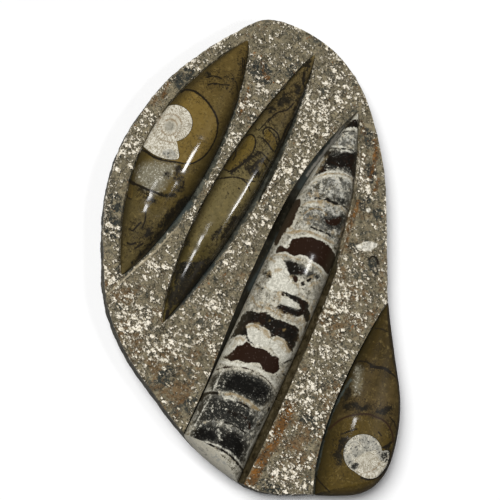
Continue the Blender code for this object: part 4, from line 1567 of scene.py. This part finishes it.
def shell_calcite():
    """Shell replaced by calcite and polished: crystalline grey and cream, with white growth
    lines, tan seams and black and red-brown chambers. Its crystals scatter the light, so it is
    duller than the brown stone."""
    stone = start_finish("polished_shell_calcite")
    mottle = stone.grain(3.0, 32.0, 7.0, 0.82, 0.5)
    crystals = stone.grain(1.4, 33.0, 5.0, 0.8)
    warm = stone.grain(4.0, 34.0, 6.0, 0.8, 0.5)
    cloud = stone.grain(6.0, 44.0, 5.0, 0.7, 0.6)
    dust = (stone.grain(1.2, 40.0, 3.0, 0.6), 0.63, 0.68)
    greyed = stone.drawn("greyed", 1.0, 1.2, 4.0, 31.0)
    murk = stone.drawn("murk", 1.3, 1.8, 4.0, 32.0)
    dark = stone.drawn("dark", 1.5, 0.3, 3.0, 34.0)
    brown = stone.drawn("brown", 0.9, 0.2, 3.0, 35.0)
    pale = stone.drawn("pale", 0.9, 0.4, 2.4, 37.0)
    dusty = stone.add("Math", (dark, murk), operation="MAXIMUM")
    crust = (
        stone.drawn("brown", 0.6, 0.4, 2.0, 42.0, 1.5),
        stone.drawn("dark", 0.8, 0.5, 2.0, 43.0, 1.2),
    )
    colour = stone.coats(
        "#949083",
        ("#a9a596", (stone.grain(9.0, 31.0, 5.0, 0.65), 0.42, 0.58)),
        ("#c6c2b2", (mottle, 0.5, 0.57)),
        ("#615d51", (mottle, 0.46, 0.39), 0.8),
        ("#9d8a62", (warm, 0.53, 0.6), 0.65),
        ("#c4bfad", stone.add("Math", crust, operation="MAXIMUM"), 0.75),
        ("#d6d2c3", (crystals, 0.53, 0.6), 0.7),
        ("#4a463a", (crystals, 0.46, 0.39), 0.65),
        ("#6b675b", (cloud, 0.47, 0.38), 0.45),
        ("#4a4a46", greyed, (mottle, 0.58, 0.5), 0.85),
        ("#c3c1b6", greyed, (cloud, 0.53, 0.6), 0.7),
        ("#38321f", stone.seams(5.0, 38.0, 0.02), (mottle, 0.54, 0.48)),
        ("#33312c", murk, (mottle, 0.58, 0.5)),
        ("#232320", murk, (crystals, 0.56, 0.5)),
        ("#100f0d", stone.drawn("black", 2.0, 1.2, 4.0, 33.0), 0.95),
        ("#171410", dark),
        ("#34302a", dark, (mottle, 0.54, 0.62)),
        ("#251810", dark, (cloud, 0.48, 0.56), 0.7),
        ("#b5b2a4", pale, (mottle, 0.36, 0.46)),
        ("#d8d5c7", pale, (crystals, 0.48, 0.56)),
        ("#958260", stone.drawn("stain", 1.2, 1.0, 3.0, 41.0), (warm, 0.46, 0.56), 0.75),
        ("#8a744c", stone.drawn("tan", 0.8, 0.5, 2.6, 36.0), 0.62),
        ("#261810", brown),
        ("#191612", stone.drawn("ink", 0.7, 0.3, 2.4, 39.0)),
        # Painted shade: the shell's flanks are painted darker towards the edge, where the crown
        # turns away from the light.
        ("#4b4535", ("flank", 0.6, 1.0), 0.35),
        ("#8a8a82", dusty, dust, 0.75),
        ("#75665c", brown, dust, 0.5),
    )
    return stone.close(colour, crystals, 0.02, *stone.polished(0.2, 0.48, 0.34, 0.08, 0.3))


def end_bevel():
    """Calcite ground on a coarse wheel at the slab's edge: cream, dull, with grey cloudy places."""
    stone = start_finish("ground_cream_calcite")
    cloud = stone.grain(4.0, 41.0, 6.0, 0.7)
    fine = stone.grain(1.2, 42.0, 3.0, 0.6)
    colour = stone.coats(
        "#b0ab9a",
        ("#96958c", (cloud, 0.5, 0.6)),
        ("#5f5f5a", (cloud, 0.44, 0.36), 0.7),
        ("#c8c2b1", (fine, 0.5, 0.62), 0.5),
    )
    return stone.close(colour, fine, 0.05, 0.5)


def coil_calcite(name, centre):
    """White calcite of a coiled shell, polished: fine ribs run out from its middle and thin
    brown seams follow its whorls."""
    stone = start_finish(name)
    back = (-centre[0] * MM, -centre[1] * MM, 0.0)
    local = stone.add("VectorMath", (stone.place, back), operation="ADD")
    x, y = (stone.add("SeparateXYZ", (local,), axis) for axis in "XY")
    squares = stone.add("Math", (x, x, stone.cover(y, y)), operation="MULTIPLY_ADD")
    radius = stone.add("Math", (squares,), operation="SQRT")
    radius = stone.add("Math", (radius, MM), operation="DIVIDE")
    swing = stone.add("Math", (stone.grain(4.0, 51.0, 4.0, 0.7), NEUTRAL), operation="SUBTRACT")
    turn = stone.add("Math", (y, x), operation="ARCTAN2")
    turn = stone.add("Math", (swing, turn), operation="ADD")
    wave = stone.add("Math", (stone.cover(turn, COIL_RIBS),), operation="SINE")
    middle = stone.drawn("umbilicus", 0.7, 1.2, 2.0, 52.0)
    speckled = stone.drawn("speckled", 0.8, 0.7, 3.0, 53.0)
    dots = stone.grain(1.2, 52.0, 4.0, 0.75)
    cloud = stone.grain(4.5, 53.0, 6.0, 0.72)
    fine = stone.grain(1.3, 54.0, 4.0, 0.7)
    colour = stone.coats(
        "#a9a28f",
        ("#beb8a6", (cloud, 0.44, 0.56)),
        ("#dcd7c8", (wave, -0.1, 0.7), (radius, *RIBS_START), 0.75),
        ("#8a7f68", (wave, -0.3, -0.9), (radius, *FURROWS_START), 0.75),
        ("#857b66", (fine, 0.47, 0.38), 0.6),
        ("#e4e0d2", (fine, 0.54, 0.62), 0.5),
        ("#8b8474", (cloud, 0.44, 0.36), 0.6),
        ("#8a8678", middle, 0.75),
        ("#5f5c52", middle, (dots, 0.46, 0.38)),
        ("#96948a", speckled, (cloud, 0.6, 0.46), 0.75),
        ("#5c5b54", speckled, (dots, 0.48, 0.4)),
        ("#2f3030", speckled, (dots, 0.42, 0.36)),
        ("#24231f", stone.drawn("black", 0.9, 0.6, 2.4, 54.0), (dots, 0.62, 0.5)),
        ("#7d684a", stone.drawn("rings", 0.5, 0.5, 2.4, 51.0), (cloud, 0.38, 0.5), 0.85),
    )
    return stone.close(colour, fine, 0.01, *stone.polished(0.2, 0.34, 0.22, 0.3, 0.2))


# --- Pieces ---

BROWNS = {
    # material and its colours at the foot, the middle and the tip of the spindle, and its cells
    "spindle_left": ("olive_brown_limestone", "#554a2c", "#5f5029", "#5c4c28", "#75602f"),
    "spindle_middle": ("grey_brown_limestone", "#494021", "#685d3b", "#5c4f31", "#614f1f"),
    "spindle_right": ("dark_brown_limestone", "#4a3d1b", "#504226", "#3a2f16", "#50411b"),
}
SHARP_EDGE = radians(40)
SHARP_STONE_EDGE = radians(50)


def build_slab():
    """The slab with the four troughs sunk into it, whose walls are ground smooth."""
    surfaces = pecked_limestone(), ground_limestone()
    slab = add_object("matrix_slab_stone", slab_mesh(), *surfaces)
    troughs = [
        add_object(f"{fossil.name}_trough", trough_mesh(fossil), *surfaces, use=1)
        for fossil in FOSSILS
    ]
    cut(slab, "DIFFERENCE", troughs)
    for trough in troughs:
        bpy.data.objects.remove(trough)
    record_slab(slab.data)
    return slab


def build_orthoceras(envelope, shell, bevel):
    """The banded cone, cut off by the slab's edge, where its end is ground to a bevel."""
    made = add_object("orthoceras_shell", fossil_mesh(ORTHOCERAS), shell, bevel)
    cut(made, "INTERSECT", [envelope])
    record_flanks(made.data, ORTHOCERAS)
    return made


def build_spindle(fossil, envelope):
    """A polished spindle. The right one reaches the slab's edge and ends there."""
    brown = polished_brown(*BROWNS[fossil.name])
    made = add_object(f"{fossil.name}_body", fossil_mesh(fossil), brown, brown)
    if fossil is RIGHT_SPINDLE:
        cut(made, "INTERSECT", [envelope])
    return made


def build_goniatite(name, centre, mouth, coil, whorl, host):
    """A coil cut flush with the crown of the spindle that it lies in, and its pocket there."""
    surface = coil_calcite(f"{name}_calcite", centre)
    shape = coil_mesh(centre, mouth, coil, whorl, 0.0, GONIATITE_FLOOR + GAP, CUT_TOP)
    made = add_object(f"{name}_coil", shape, surface)
    block = link("block", host.data.copy())
    cut(made, "INTERSECT", [block])
    bpy.data.objects.remove(block)
    made.data.materials.clear()
    made.data.materials.append(surface)
    hole = coil_mesh(centre, mouth, coil, whorl, GAP, GONIATITE_FLOOR, CUT_TOP)
    pocket = add_object("pocket", hole, host.data.materials[0])
    cut(host, "DIFFERENCE", [pocket])
    bpy.data.objects.remove(pocket)
    return made


def build_plate():
    shell, bevel = shell_calcite(), end_bevel()
    envelope = add_object("envelope", envelope_mesh(), shell, bevel, use=1)
    made = {
        "matrix_slab": build_slab(),
        "orthoceras": build_orthoceras(envelope, shell, bevel),
    }
    for spindle in (LEFT_SPINDLE, MIDDLE_SPINDLE, RIGHT_SPINDLE):
        made[spindle.name] = build_spindle(spindle, envelope)
    bpy.data.objects.remove(envelope)
    for name, *sizes, host in GONIATITES:
        made[name] = build_goniatite(name, *sizes, made[host.name])
    for spindle in (LEFT_SPINDLE, MIDDLE_SPINDLE, RIGHT_SPINDLE):
        record_flanks(made[spindle.name].data, spindle)

    for node, slot in (
        ("matrix_slab", "matrix"),
        ("orthoceras", "banded_shell"),
        ("spindle_left", "brown_limestone"),
        ("spindle_middle", "brown_limestone"),
        ("spindle_right", "brown_limestone"),
        ("goniatite_left", "cream_calcite"),
        ("goniatite_right", "cream_calcite"),
    ):
        piece = made[node]
        record_marks(piece.data, MARKS[node])
        if node in POLISHED:
            record_spots(piece.data, "polish", POLISHED[node])
        piece.data.shade_smooth()
        sharp = SHARP_STONE_EDGE if node == "matrix_slab" else SHARP_EDGE
        piece.data.set_sharp_from_angle(angle=sharp)
        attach(piece, "root")
        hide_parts(node)


# --- Floor, light and camera ---


def add_lamp(data, direction, distance):
    """Hangs a lamp over the plate and points it at its middle."""
    made = link(data.name, data)
    target = VIEW_TARGET * MM
    made.location = target + Vector(direction).normalized() * distance
    made.rotation_euler = (target - made.location).to_track_quat("-Z", "Y").to_euler()
    return made


def add_lights():
    """The main light is broad and overhead, from the left. It is cross-polarised, so that it
    leaves no reflection in the polish. Two small ones are mirrored there as streaks."""
    key = bpy.data.lights.new("key_overhead", "SUN")
    key.energy = KEY_STRENGTH
    key.angle = KEY_WIDTH
    add_lamp(key, KEY_DIRECTION, KEY_DISTANCE).visible_glossy = False
    for name, direction, power in SOFTBOXES:
        lamp = bpy.data.lights.new(name, "AREA")
        lamp.size = SOFTBOX_SIZE
        lamp.energy = power
        add_lamp(lamp, direction, SOFTBOX_DISTANCE)


def add_room():
    """A dim room, whose far walls are white to the eye."""
    world = bpy.data.worlds.new("dim_room")
    bpy.context.scene.world = world
    room = Finish(world)
    seen = room.add("LightPath", output="Is Camera Ray")
    colour = room.coats(ROOM_GLOW, (ROOM_WALLS, seen))
    room.feed(room.tree.nodes["Background"].inputs["Color"], colour)


def add_floor():
    bm = bmesh.new()
    bmesh.ops.create_grid(bm, x_segments=1, y_segments=1, size=FLOOR_HALF)
    floor = add_object("floor", bm)
    surface = bpy.data.materials.new("pale_floor")
    surface.use_nodes = True
    shader = surface.node_tree.nodes["Principled BSDF"]
    shader.inputs["Base Color"].default_value = FLOOR_COLOUR
    shader.inputs["Roughness"].default_value = FLOOR_ROUGHNESS
    floor.data.materials.append(surface)
    floor.location.z = FLOOR_LEVEL
    floor.visible_glossy = False  # cross-polarised like the key, so no polish mirrors it


def add_camera():
    lens = bpy.data.cameras.new("camera")
    lens.sensor_width = SENSOR_WIDTH
    lens.lens = SENSOR_WIDTH * VIEW_DISTANCE / (SQUARE * PAPER)
    made = link("camera", lens)
    made.location = EYE * MM
    turn = FORWARD.to_track_quat("-Z", "Y").to_matrix()
    turn.col[0], turn.col[1], turn.col[2] = RIGHT, UP, -FORWARD
    made.rotation_euler = turn.to_euler()
    bpy.context.scene.camera = made


build_plate()
add_floor()
add_room()
add_lights()
add_camera()
bpy.context.scene.view_settings.view_transform = "Standard"
